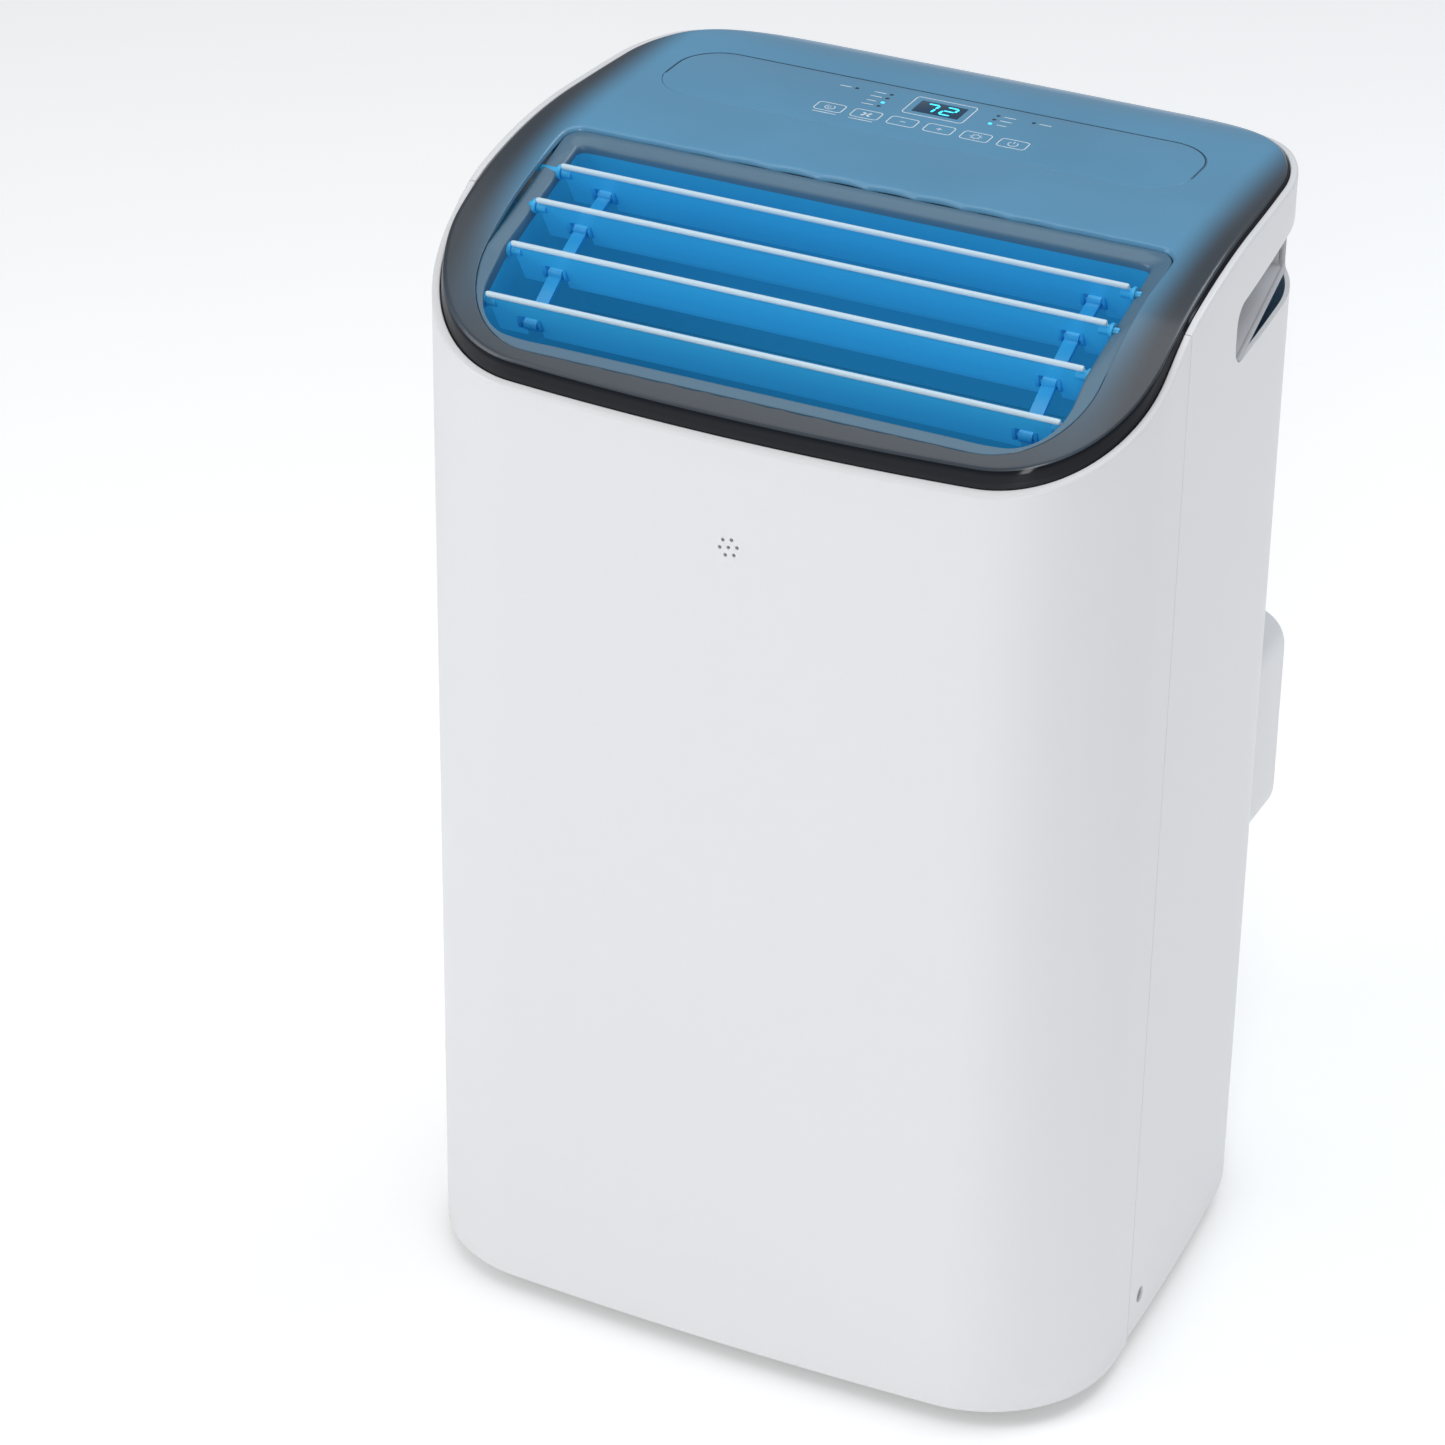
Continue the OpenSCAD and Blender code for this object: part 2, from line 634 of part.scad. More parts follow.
module louvre_2() color([0.75, 0.86, 0.94]) unit() blade(1, cut - wall_x);
module louvre_3() color([0.75, 0.86, 0.94]) unit() blade(2, cut - wall_x);
module louvre_4() color([0.75, 0.86, 0.94]) unit() blade(3, cut - wall_x);

module link_bar(s) {
    difference() {
        union() {
            for (i = [0:louvre_count - 2]) {
                run = [pin_y(i + 1) - pin_y(i), pin_z(i + 1) - pin_z(i)];
                translate([s*link_x - link_w/2, pin_y(i), pin_z(i)]) rotate([atan2(run.y, run.x), 0, 0])
                    translate([0, 0, -link_t/2]) cube([link_w, norm(run), link_t]);
            }
            for (i = [0:louvre_count - 1])
                rod_x(s*link_x - link_w/2, s*link_x + link_w/2, pin_y(i), pin_z(i), eye_r);
        }
        for (i = [0:louvre_count - 1])
            rod_x(s*link_x - link_w, s*link_x + link_w, pin_y(i), pin_z(i),
                link_pin_r + (i == 0 ? run_fit : open_pivot_gap));
    }
}
module link_left() color([0.6, 0.75, 0.88]) unit() link_bar(-1);
module link_right() color([0.6, 0.75, 0.88]) unit() link_bar(1);
wall_x = -outlet_half_w - duct_wall;
motor_x = wall_x - 13;
motor_pin = 21;
module louvre_motor() color("gainsboro") unit() {
    difference() {
        union() {
            block(motor_x - 9, motor_x, pivot_y(0) - 4, pivot_y(0) + 20, pivot_z(0) - 22, pivot_z(0) + 3.5);
            block(motor_x - 1, wall_x, pivot_y(0) + 8, pivot_y(0) + 20, pivot_z(0) - 22, pivot_z(0) - 14);
            rod_x(motor_x - 18, motor_x - 8, pivot_y(0) + 8, pivot_z(0) - 10, 11);
        }
        rod_x(motor_x - 9 - cut, motor_x + cut, pivot_y(0), pivot_z(0), pivot_r + run_fit);
    }
}

// ---- grips, exhaust housing, grilles, filters ----
module grip(s) {
    intersection() {
        difference() {
            intersection() {
                ring(wall/2, grip_depth + wall, low_z, top_z);
                grip_cut(0);
            }
            intersection() {
                prism(grip_depth, low_z - cut, top_z + cut);
                grip_cut(-wall);
            }
            difference() {
                grip_cut(-wall);
                prism(grip_depth, low_z - cut, top_z + cut);
            }
        }
        block(s > 0 ? 0 : -body_w, s > 0 ? body_w : 0, -body_d, body_d, 0, top_z);
    }
    intersection() {
        ring(grip_depth, grip_depth + wall, low_z, top_z);
        grip_cut(0);
        block(s > 0 ? 0 : -body_w, s > 0 ? body_w : 0, -body_d, body_d, 0, top_z);
    }
}
module grip_left() color([0.68, 0.68, 0.7]) unit() grip(-1);
module grip_right() color([0.68, 0.68, 0.7]) unit() grip(1);

housing_inner_y = rear_y - 46;
housing_wall = 2.5;
module exhaust_housing() color("white") unit() {
    difference() {
        round_box_y(exhaust_x, port_z, exhaust_w, exhaust_h, exhaust_corner_r, housing_inner_y, rear_y + exhaust_reach);
        round_box_y(exhaust_x, port_z, exhaust_w - 2*housing_wall, exhaust_h - 2*housing_wall,
            exhaust_corner_r - housing_wall, housing_inner_y - cut, rear_y + exhaust_reach - 12);
        rod_y(exhaust_x, housing_inner_y, rear_y + exhaust_reach + cut, port_z, port_r);
    }
}
module grille(x0, x1, z0, z1) {
    mid = (x0 + x1)/2;
    difference() {
        union() {
            intersection() {
                ring(0.4, wall, z0, z1);
                block(x0 + panel_fit, x1 - panel_fit, 0, rear_y + cut, z0 + panel_fit, z1 - panel_fit);
            }
            intersection() {
                ring(wall, wall + 1.6, z0 - 6, z1 + 6);
                block(x0 - 3, x1 + 3, 0, rear_y + cut, z0 - 4, z1 + 4);
            }
        }
        for (z = [z0 + 8:slot_pitch:z1 - 8 - slot_h], c = [[x0 + 8, mid - 3], [mid + 3, x1 - 8]])
            block(c[0], c[1], rear_y - 40, rear_y + cut, z, z + slot_h);
    }
}
module upper_grille() color("whitesmoke") unit()
    grille(-upper_half_w, upper_half_w, low_z + upper_z, low_z + upper_z + upper_h);
module lower_grille() color("whitesmoke") unit()
    grille(-lower_left, lower_right, low_z + lower_z, low_z + lower_z + lower_h);

mesh_t = 0.8;
module filter(x1, z0, z1) {
    y0 = filter_y - filter_t/2;
    y1 = filter_y + filter_t/2;
    x0 = -rear_half_w(y1, 0) + 0.5;
    difference() {
        block(x0, x1, y0, y1, z0, z1);
        for (k = [0, 1]) {
            half = (z1 - z0 - 3*filter_bar)/2;
            zk = z0 + filter_bar + k*(half + filter_bar);
            block(x0 + 2*filter_bar + 12, x1 - filter_bar, y0 - cut, filter_y - mesh_t/2, zk, zk + half);
            block(x0 + 2*filter_bar + 12, x1 - filter_bar, filter_y + mesh_t/2, y1 + cut, zk, zk + half);
        }
    }
}
module upper_filter() color([0.25, 0.3, 0.35]) unit()
    filter(upper_half_w - 4, low_z + upper_z + 2, low_z + upper_z + upper_h - 2);
module lower_filter() color([0.25, 0.3, 0.35]) unit()
    filter(lower_right - 4, low_z + lower_z + 2, low_z + lower_z + lower_h - 2);

// ---- base, castors ----
module base_pan() color([0.25, 0.26, 0.28]) unit() {
    difference() {
        union() {
            prism(wall, base_z, plate_z);
            ring(wall, wall + 3, low_z + 5, plate_z + tray_h);
            for (x = [-1, 1], y = [-1, 1]) rod_z(x*caster_x, y*caster_y, base_z, plate_z + 14, stem_r + 5);
            rod_y(drain_x, rear_y - 8, rear_y + 12, lower_drain_z, drain_r);
            rod_z(float_x, float_y, plate_z - cut, plate_z + 38, 3);
        }
        for (x = [-1, 1], y = [-1, 1])
            rod_z(x*caster_x, y*caster_y, base_z - cut, plate_z + 15, stem_r + run_fit);
        rod_y(drain_x, rear_y - 9, rear_y + 13, lower_drain_z, drain_r - 2);
        for (x = [screw_x - 17, -screw_x - 3]) rod_x(x, x + 20, screw_y, low_z + screw_z, screw_recess_r + 3);
    }
}
fork_top = base_z - 0.5;
fork_side = wheel_w/2 + 0.8;
fork_t = 2.2;
module caster(x, y) {
    translate([x, y, 0]) {
        rod_z(0, 0, fork_top - 3, fork_top, 13);
        rod_z(0, 0, fork_top - 1, plate_z + 13, stem_r);
        for (s = [-1, 1]) {
            block(min(s*fork_side, s*(fork_side + fork_t)), max(s*fork_side, s*(fork_side + fork_t)),
                -6, caster_trail + 5, wheel_r - 5, fork_top - 2);
        }
        block(-fork_side - fork_t, fork_side + fork_t, -6, caster_trail + 5, fork_top - 5, fork_top - 2);
        rod_x(-fork_side - 0.5, fork_side + 0.5, caster_trail, wheel_r, axle_r);
    }
}
module caster_wheel(x, y) {
    difference() {
        rod_x(x - wheel_w/2, x + wheel_w/2, y + caster_trail, wheel_r, wheel_r);
        rod_x(x - wheel_w, x + wheel_w, y + caster_trail, wheel_r, axle_r + run_fit);
    }
}
module caster_1() color("dimgray") unit() caster(-caster_x, -caster_y);
module caster_2() color("dimgray") unit() caster(caster_x, -caster_y);
module caster_3() color("dimgray") unit() caster(-caster_x, caster_y);
module caster_4() color("dimgray") unit() caster(caster_x, caster_y);
module caster_wheel_1() color([0.15, 0.15, 0.16]) unit() caster_wheel(-caster_x, -caster_y);
module caster_wheel_2() color([0.15, 0.15, 0.16]) unit() caster_wheel(caster_x, -caster_y);
module caster_wheel_3() color([0.15, 0.15, 0.16]) unit() caster_wheel(-caster_x, caster_y);
module caster_wheel_4() color([0.15, 0.15, 0.16]) unit() caster_wheel(caster_x, caster_y);

// ---- cooling circuit ----
foot_r = comp_r + 14;
module compressor() color([0.1, 0.1, 0.11]) unit() {
    translate([comp_x, comp_y, comp_z]) {
        rotate_extrude() polygon(concat([[0, 3]], corner_pts(comp_r - 16, 19, 16, -90, 0, 6),
            corner_pts(comp_r - 22, comp_h - 22, 22, 0, 90, 8), [[0, comp_h]]));
        for (a = [30, 150, 270]) rotate(a) block(0, foot_r + 8, -9, 9, 0, 4);
        rod_z(0, 18, comp_h - 1, comp_h + 9, tube_r);
    }
}
module compressor_feet() color([0.16, 0.16, 0.17]) unit() {
    for (a = [30, 150, 270]) translate([comp_x, comp_y, 0]) rotate(a) rod_z(foot_r, 0, plate_z, comp_z, 8);
}
acc_r = 22;
acc_x = comp_x + 10;
acc_y = comp_y - comp_r - acc_r - 4;
acc_z = comp_z + 45;
acc_h = 120;
module accumulator() color([0.12, 0.12, 0.13]) unit() {
    translate([acc_x, acc_y, acc_z]) rotate_extrude() polygon(concat([[0, 0]], corner_pts(acc_r - 9, 9, 9, -90, 0, 5),
        corner_pts(acc_r - 9, acc_h - 9, 9, 0, 90, 5), [[0, acc_h]]));
    block(acc_x - 8, acc_x + 8, acc_y + acc_r - 3, comp_y - comp_r, acc_z + 50, acc_z + 62);
}
coil_bend_r = 8;
bend_tube_r = 3.5;
// Fin block with a row of return bends on its left end
module coil(x0, x1, y0, z0, z1) {
    block(x0, x1, y0, y0 + coil_t, z0, z1);
    for (x = [x0 - 2, x1]) block(x, x + 2, y0 - 2, y0 + coil_t + 2, z0, z1);
    for (z = [z0 + 14:24:z1 - 20], y = [y0 + 8, y0 + coil_t - 8])
        translate([x0 - 2, y, z + coil_bend_r]) rotate([0, 90, 90])
            rotate([0, 0, 0]) rotate_extrude(angle = -180) translate([coil_bend_r, 0]) circle(r = bend_tube_r);
}
cond_x0 = -(half_w - 48);
cond_x1 = lower_right + 8;
cond_z0 = plate_z + 18;
cond_z1 = mid_low - 26;
module condenser_coil() color([0.72, 0.74, 0.76]) unit() {
    coil(cond_x0, cond_x1, coil_y, cond_z0, cond_z1);
    for (x = [cond_x0 + 50, cond_x1 - 14]) block(x - 6, x + 6, coil_y, coil_y + coil_t, plate_z, cond_z0);
}
evap_x = half_w - 58;
evap_z0 = mid_top + 14;
evap_z1 = low_z + upper_z + upper_h - 6;
module evaporator_coil() color([0.72, 0.74, 0.76]) unit() {
    coil(-evap_x, evap_x, coil_y, evap_z0, evap_z1);
    for (x = [-evap_x + 20, evap_x - 20]) block(x - 6, x + 6, coil_y, coil_y + coil_t, mid_top, evap_z0);
}
riser_x = cond_x1 + 14;
module refrigerant_pipes() color([0.72, 0.42, 0.25]) unit() {
    top = comp_z + comp_h + 9 + tube_r;
    tube_run([[comp_x, comp_y + 18, top], [comp_x, comp_y + 18, cond_z1 - 16], [comp_x, coil_y - tube_r, cond_z1 - 16]], tube_r);
    tube_run([[cond_x1 + 2 + tube_r, coil_y + 10, cond_z0 + 30], [riser_x, coil_y + 10, cond_z0 + 30],
        [riser_x, coil_y - 14, cond_z0 + 30], [riser_x, coil_y - 14, evap_z0 + 30],
        [riser_x, coil_y - tube_r, evap_z0 + 30]], tube_r);
    tube_run([[acc_x, acc_y, acc_z + acc_h + tube_r], [acc_x, acc_y, mid_low - 20], [acc_x, coil_y - 14, mid_low - 20],
        [acc_x, coil_y - 14, evap_z0 + 60], [acc_x, coil_y - tube_r, evap_z0 + 60]], tube_r);
}
module middle_deck() color([0.85, 0.86, 0.87]) unit() {
    difference() {
        union() {
            prism(wall, mid_low, mid_top);
            ring(wall, wall + 3, mid_low, mid_top + 12);
            rod_y(drain_x, rear_y - 8, rear_y + 12, upper_drain_z, drain_r);
        }
        grip_cut(0);
        rod_y(drain_x, rear_y - 9, rear_y + 13, upper_drain_z, drain_r - 2);
        rod_z(riser_x, coil_y - 14, mid_low - cut, mid_top + cut, tube_r + 2);
        rod_z(acc_x, coil_y - 14, mid_low - cut, mid_top + cut, tube_r + 2);
        round_box_y(exhaust_x, port_z, exhaust_w + 2*panel_fit, exhaust_h + 2*panel_fit, exhaust_corner_r,
            rear_y - 60, rear_y + cut);
    }
}

// ---- evaporator fan: cross-flow wheel in a spiral guide ----
guide_gap = 6;
guide_start = -60;
guide_top = duct_low - 2;
guide_end = atan2(guide_top - fan_z, outlet_front_y - fan_y) - 360;
guide_reach = norm([outlet_front_y - fan_y, guide_top - fan_z]);
guide_rate = ln(guide_reach/(cross_r + guide_gap))/(guide_start - guide_end);
function guide_pt(a, t) = let (r = (cross_r + guide_gap)*exp(guide_rate*(guide_start - a)) + t)
    [fan_y + r*cos(a), fan_z + r*sin(a)];
guide_steps = 22;
side_x = outlet_half_w + duct_wall;
module fan_housing() color([0.8, 0.82, 0.84]) unit() {
    angles = [for (i = [0:guide_steps]) guide_start + (guide_end - guide_start)*i/guide_steps];
    difference() {
        union() {
            rotate([90, 0, 90]) linear_extrude(2*side_x - 2, center = true)
                polygon(concat([for (a = angles) guide_pt(a, 0)],
                    [for (i = [guide_steps:-1:0]) guide_pt(angles[i], duct_wall)]));
            block(-side_x + 1, side_x - 1, outlet_rear_y, outlet_rear_y + duct_wall,
                fan_z + cross_r + guide_gap, duct_low - 1);
            for (s = [-1, 1])
                block(min(s*outlet_half_w, s*side_x), max(s*outlet_half_w, s*side_x),
                    outlet_front_y + 2, fan_y + cross_r + 12, mid_top, duct_low);
        }
        rod_x(-half_w, half_w, fan_y, fan_z, shaft_r + run_fit);
    }
}
module cross_flow_wheel() color([0.2, 0.22, 0.24]) unit() {
    for (x = [-cross_half, -cross_half/2, 0, cross_half/2, cross_half - 2])
        rod_x(x, x + 2, fan_y, fan_z, cross_r);
    rod_x(-side_x - 2, side_x + 18, fan_y, fan_z, shaft_r);
    for (i = [0:cross_blades - 1])
        translate([0, fan_y, fan_z]) rotate([360/cross_blades*i, 0, 0]) translate([0, cross_r - 7, 0]) rotate([35, 0, 0])
            block(-cross_half, cross_half, -6, 6, -0.7, 0.7);
}
module evaporator_motor() color([0.55, 0.57, 0.6]) unit() {
    difference() {
        rod_x(side_x, side_x + 28, fan_y, fan_z, 32);
        rod_x(side_x - cut, side_x + 19, fan_y, fan_z, shaft_r + run_fit);
    }
}

// ---- exhaust blower: spiral scroll that discharges to the rear ----
scroll_gap = 6;
scroll_start = 20;
scroll_sweep = 290;
scroll_reach = port_z + port_r - blower_z;
scroll_rate = ln(scroll_reach/(exhaust_wheel_r + scroll_gap))/scroll_sweep;
scroll_steps = 30;
scroll_end_y = rear_y + exhaust_reach - 12;
scroll_wall = 1.4;
function scroll_pt(i, t) =
    let (a = scroll_start - scroll_sweep*i/scroll_steps,
        r = (exhaust_wheel_r + scroll_gap)*exp(scroll_rate*(scroll_start - a)) + t)
    [blower_y + r*cos(a), blower_z + r*sin(a)];
function scroll_pts(t) = concat([[scroll_end_y, port_z - port_r - t]],
    [for (i = [0:scroll_steps]) scroll_pt(i, t)], [[scroll_end_y, port_z + port_r + t]]);
module scroll_plate(x0, x1, t) {
    translate([x0, 0, 0]) rotate([90, 0, 90]) linear_extrude(x1 - x0) polygon(scroll_pts(t));
}
module exhaust_scroll() color([0.3, 0.31, 0.33]) unit() {
    x0 = blower_x - scroll_wall;
    x1 = blower_x + scroll_w + scroll_wall;
    difference() {
        scroll_plate(x0, x1, scroll_wall);
        difference() {
            scroll_plate(blower_x, blower_x + scroll_w, 0);
            block(x0, x1, scroll_end_y - cut, scroll_end_y + cut, 0, 1);
        }
        rod_x(x0 - cut, x0 + 5, blower_y, blower_z, exhaust_wheel_r - 10);
        rod_x(x1 - 5, x1 + cut, blower_y, blower_z, shaft_r + run_fit);
        block(blower_x, blower_x + scroll_w, scroll_end_y - 1, scroll_end_y + cut, port_z - port_r, port_z + port_r);
    }
    for (x = [x0 + 6, x1 - 18]) block(x, x + 12, blower_y - 8, blower_y + 8, plate_z, blower_z - exhaust_wheel_r - 20);
}
wheel_len = scroll_w - 24;
module exhaust_wheel() color([0.22, 0.22, 0.24]) unit() {
    x0 = blower_x + 12;
    x1 = x0 + wheel_len;
    rod_x(x1 - 3, x1, blower_y, blower_z, exhaust_wheel_r);
    rod_x(x1 - 30, blower_x + scroll_w + scroll_wall + 18, blower_y, blower_z, shaft_r);
    rod_x(x1 - 30, x1, blower_y, blower_z, 14);
    difference() {
        rod_x(x0, x0 + 3, blower_y, blower_z, exhaust_wheel_r);
        rod_x(x0 - cut, x0 + 4, blower_y, blower_z, exhaust_wheel_r - 12);
    }
    for (i = [0:exhaust_blades - 1])
        translate([0, blower_y, blower_z]) rotate([360/exhaust_blades*i, 0, 0])
            translate([0, exhaust_wheel_r - 6.5, 0]) rotate([40, 0, 0]) block(x0, x1, -5, 5, -0.7, 0.7);
}
module exhaust_motor() color([0.5, 0.52, 0.55]) unit() {
    x0 = blower_x + scroll_w + scroll_wall;
    difference() {
        rod_x(x0, x0 + 28, blower_y, blower_z, 34);
        rod_x(x0 - cut, x0 + 19, blower_y, blower_z, shaft_r + run_fit);
    }
}

// ---- electrics, drains, splash wheel, float ----
box_y = front_y + wall + 12;
box_z = plate_z + 44;
module electrical_box() color([0.88, 0.88, 0.86]) unit() {
    block(-80, 30, box_y, box_y + 40, box_z, box_z + 190);
    for (x = [-70, 10]) block(x, x + 10, box_y + 14, box_y + 24, plate_z, box_z);
}
module capacitor() color([0.75, 0.77, 0.8]) unit() {
    rod_z(-22, box_y + 22, box_z + 190, box_z + 250, 19);
}
module drain_cap(z) {
    y0 = rear_y + 0.5;
    difference() {
        rod_y(drain_x, y0, rear_y + 16, z, drain_r + 3);
        rod_y(drain_x, y0 - cut, rear_y + 12.5, z, drain_r + run_fit);
    }
}
module upper_drain_cap() color([0.2, 0.2, 0.22]) unit() drain_cap(upper_drain_z);
module lower_drain_cap() color([0.2, 0.2, 0.22]) unit() drain_cap(lower_drain_z);
cord_r = 4;
module cord_gland() color([0.2, 0.2, 0.22]) unit() {
    difference() {
        union() {
            rod_y(exhaust_x, rear_y - 16, rear_y + 12, gland_z, gland_r - 0.2);
            rod_y(exhaust_x, rear_y + 0.5, rear_y + 4, gland_z, gland_r + 4);
        }
        rod_y(exhaust_x, rear_y - 17, rear_y + 13, gland_z, cord_r);
    }
}
splash_x = -10;
splash_y = coil_y - 12;
splash_z = plate_z + 32;
splash_r = 28;
module splash_wheel() color([0.85, 0.85, 0.8]) unit() {
    rod_y(splash_x, splash_y, splash_y + 3, splash_z, splash_r - 4);
    rod_y(splash_x, splash_y - 14, splash_y + 3, splash_z, 2.5);
    for (a = [0:30:330]) translate([splash_x, splash_y, splash_z]) rotate([0, a, 0])
        block(splash_r - 8, splash_r, 0, 8, -1, 1);
}
module splash_motor() color([0.6, 0.62, 0.64]) unit() {
    difference() {
        union() {
            rod_y(splash_x, splash_y - 30, splash_y - 4, splash_z, 14);
            block(splash_x - 12, splash_x + 12, splash_y - 30, splash_y - 18, plate_z, splash_z);
        }
        rod_y(splash_x, splash_y - 15, splash_y, splash_z, 2.5 + run_fit);
    }
}
float_x = -(half_w - 50);
float_y = -40;
module float_ring() color([0.9, 0.9, 0.88]) unit() {
    difference() {
        rod_z(float_x, float_y, plate_z, plate_z + 14, 11);
        rod_z(float_x, float_y, plate_z - cut, plate_z + 15, 3 + run_fit);
    }
}
module sensor_board() color([0.1, 0.1, 0.12]) unit() {
    rod_y(0, front_y + wall + 0.1, front_y + wall + 9, low_z + sensor_z, 13);
}

front_cover();
side_panel_left();
side_panel_right();
rear_cover();
top_frame();
outlet_bezel();
outlet_duct();
louvre_1();
louvre_2();
louvre_3();
louvre_4();
link_left();
link_right();
louvre_motor();
control_inlay();
display_window();
control_board();
grip_left();
grip_right();
exhaust_housing();
upper_grille();
lower_grille();
upper_filter();
lower_filter();
base_pan();
caster_1();
caster_2();
caster_3();
caster_4();
caster_wheel_1();
caster_wheel_2();
caster_wheel_3();
caster_wheel_4();
compressor();
compressor_feet();
accumulator();
condenser_coil();
evaporator_coil();
refrigerant_pipes();
middle_deck();
fan_housing();
cross_flow_wheel();
evaporator_motor();
exhaust_scroll();
exhaust_wheel();
exhaust_motor();
electrical_box();
capacitor();
upper_drain_cap();
lower_drain_cap();
cord_gland();
splash_wheel();
splash_motor();
float_ring();
sensor_board();
cover_screws();
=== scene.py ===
import math

import bmesh
import bpy
import numpy as np
from bpy.props import FloatProperty, FloatVectorProperty, IntProperty, PointerProperty
from mathutils import Matrix, Vector


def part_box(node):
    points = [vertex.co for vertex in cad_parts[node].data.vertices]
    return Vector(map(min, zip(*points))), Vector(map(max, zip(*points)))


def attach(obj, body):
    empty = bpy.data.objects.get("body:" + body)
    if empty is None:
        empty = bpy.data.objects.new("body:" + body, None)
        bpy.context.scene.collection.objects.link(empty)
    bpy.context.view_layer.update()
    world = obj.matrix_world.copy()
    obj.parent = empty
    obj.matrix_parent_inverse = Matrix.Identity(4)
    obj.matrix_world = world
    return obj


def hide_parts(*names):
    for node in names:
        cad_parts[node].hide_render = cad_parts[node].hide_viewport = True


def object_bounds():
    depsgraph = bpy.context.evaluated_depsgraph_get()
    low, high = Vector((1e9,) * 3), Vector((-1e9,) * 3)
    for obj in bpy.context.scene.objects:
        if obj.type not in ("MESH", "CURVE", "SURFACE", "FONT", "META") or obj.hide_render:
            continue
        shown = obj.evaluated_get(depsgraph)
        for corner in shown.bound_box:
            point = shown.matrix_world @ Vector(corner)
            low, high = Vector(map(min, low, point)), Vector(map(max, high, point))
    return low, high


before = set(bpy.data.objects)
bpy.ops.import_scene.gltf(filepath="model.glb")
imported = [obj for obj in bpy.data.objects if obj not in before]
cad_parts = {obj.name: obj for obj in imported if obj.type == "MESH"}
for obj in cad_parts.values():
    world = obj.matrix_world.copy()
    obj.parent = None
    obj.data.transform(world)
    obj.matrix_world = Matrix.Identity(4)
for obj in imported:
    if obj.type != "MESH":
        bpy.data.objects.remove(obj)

bl_info = {
    "name": "Portable Air Conditioner",
    "version": (1, 0, 0),
    "blender": (4, 5, 0),
    "location": "View3D > Sidebar > Appliance",
    "description": "Builds the visible pieces, finishes and studio of a portable air conditioner",
    "category": "Object",
}

CAD_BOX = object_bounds()
FRONT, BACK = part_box("front_cover"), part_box("rear_cover")
MM = 0.001
WIDTH = (FRONT[1].x - FRONT[0].x) / MM
DEPTH = (BACK[1].y - FRONT[0].y) / MM
MIDDLE = (BACK[1].y + FRONT[0].y) / 2
LOW = FRONT[0].z / MM
DECK = CAD_BOX[1].z / MM


def mm_box(node):
    """Low and high corners of a node's box, in millimetres about the cabinet's middle."""
    return [np.array([c.x, c.y - MIDDLE, c.z]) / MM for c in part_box(node)]


# ---- sizes and colours a user may change

def number(name, what, value, **more):
    return FloatProperty(name=name, description=what, default=value, **more)


class CabinetSizes(bpy.types.PropertyGroup):
    wall: number("Wall", "Wall thickness of the covers in mm", 2.8)
    rim: number("Rim", "Width of the white rim round the top in mm", 4.5)
    seam: number("Seam", "Distance of the side seam behind the front in mm", 110.0)
    skin: number("Ink layer", "Room left above the deck for printing in mm", 0.15)
    step: number("Column step", "Spacing of the columns round the cabinet in mm", 4.0)


class OutletSizes(bpy.types.PropertyGroup):
    half: number("Half width", "Half width of the air outlet in mm", 176.0)
    front: number("Front edge", "Front edge of the outlet from the middle in mm", -163.5)
    rear: number("Rear edge", "Rear edge of the outlet from the middle in mm", -25.0)
    chord: number("Blade chord", "Chord of one louvre blade in mm", 32.0)
    lean: number("Blade lean", "Lean of the blades at rest", math.radians(30), subtype="ANGLE")
    links: number("Link place", "Distance of each link bar from the middle in mm", 150.0)


class PanelSizes(bpy.types.PropertyGroup):
    middle: number("Middle", "Sideways place of the control field in mm", -6.0)
    width: number("Width", "Width of the glossy inlay in mm", 331.0)
    front: number("Front edge", "Front edge of the inlay in mm", 48.0)
    rear: number("Rear edge", "Rear edge of the inlay in mm", 118.0)
    corner: number("Corner", "Corner radius of the inlay in mm", 28.0)
    reading: IntProperty(name="Reading", description="Number shown on the display", default=72, min=0, max=99)


def colour(name, what, value):
    return FloatVectorProperty(name=name, description=what, default=value, size=3, subtype="COLOR", min=0, max=1)


class Colours(bpy.types.PropertyGroup):
    shell: colour("Shell", "White of the covers", (0.80, 0.80, 0.815))
    deck: colour("Deck", "Blue-grey of the top behind the outlet", (0.115, 0.34, 0.55))
    edge: colour("Deck edge", "Dark slate of the top round the outlet", (0.036, 0.046, 0.060))
    band: colour("Band", "Gloss black of the top's side band", (0.008, 0.010, 0.014))
    bezel: colour("Bezel", "Blue-grey ring round the outlet", (0.075, 0.165, 0.25))
    duct: colour("Duct", "Blue of the outlet duct", (0.02, 0.24, 0.46))
    blade: colour("Blade", "Azure of the louvre blades", (0.035, 0.36, 0.66))
    bead: colour("Bead", "Pale edge of the louvre blades", (0.62, 0.78, 0.88))
    grip: colour("Grip", "Grey of the grip pockets", (0.64, 0.64, 0.66))
    ink: colour("Ink", "Pale print on the control inlay", (0.84, 0.93, 0.97))
    glow: colour("Glow", "Cyan of the display and lamps", (0.05, 0.75, 1.0))


GROUPS = {"cabinet": CabinetSizes, "outlet": OutletSizes, "panel": PanelSizes, "colours": Colours}


def sizes(name):
    return getattr(bpy.context.scene, "aircon_" + name)


# ---- shader maths

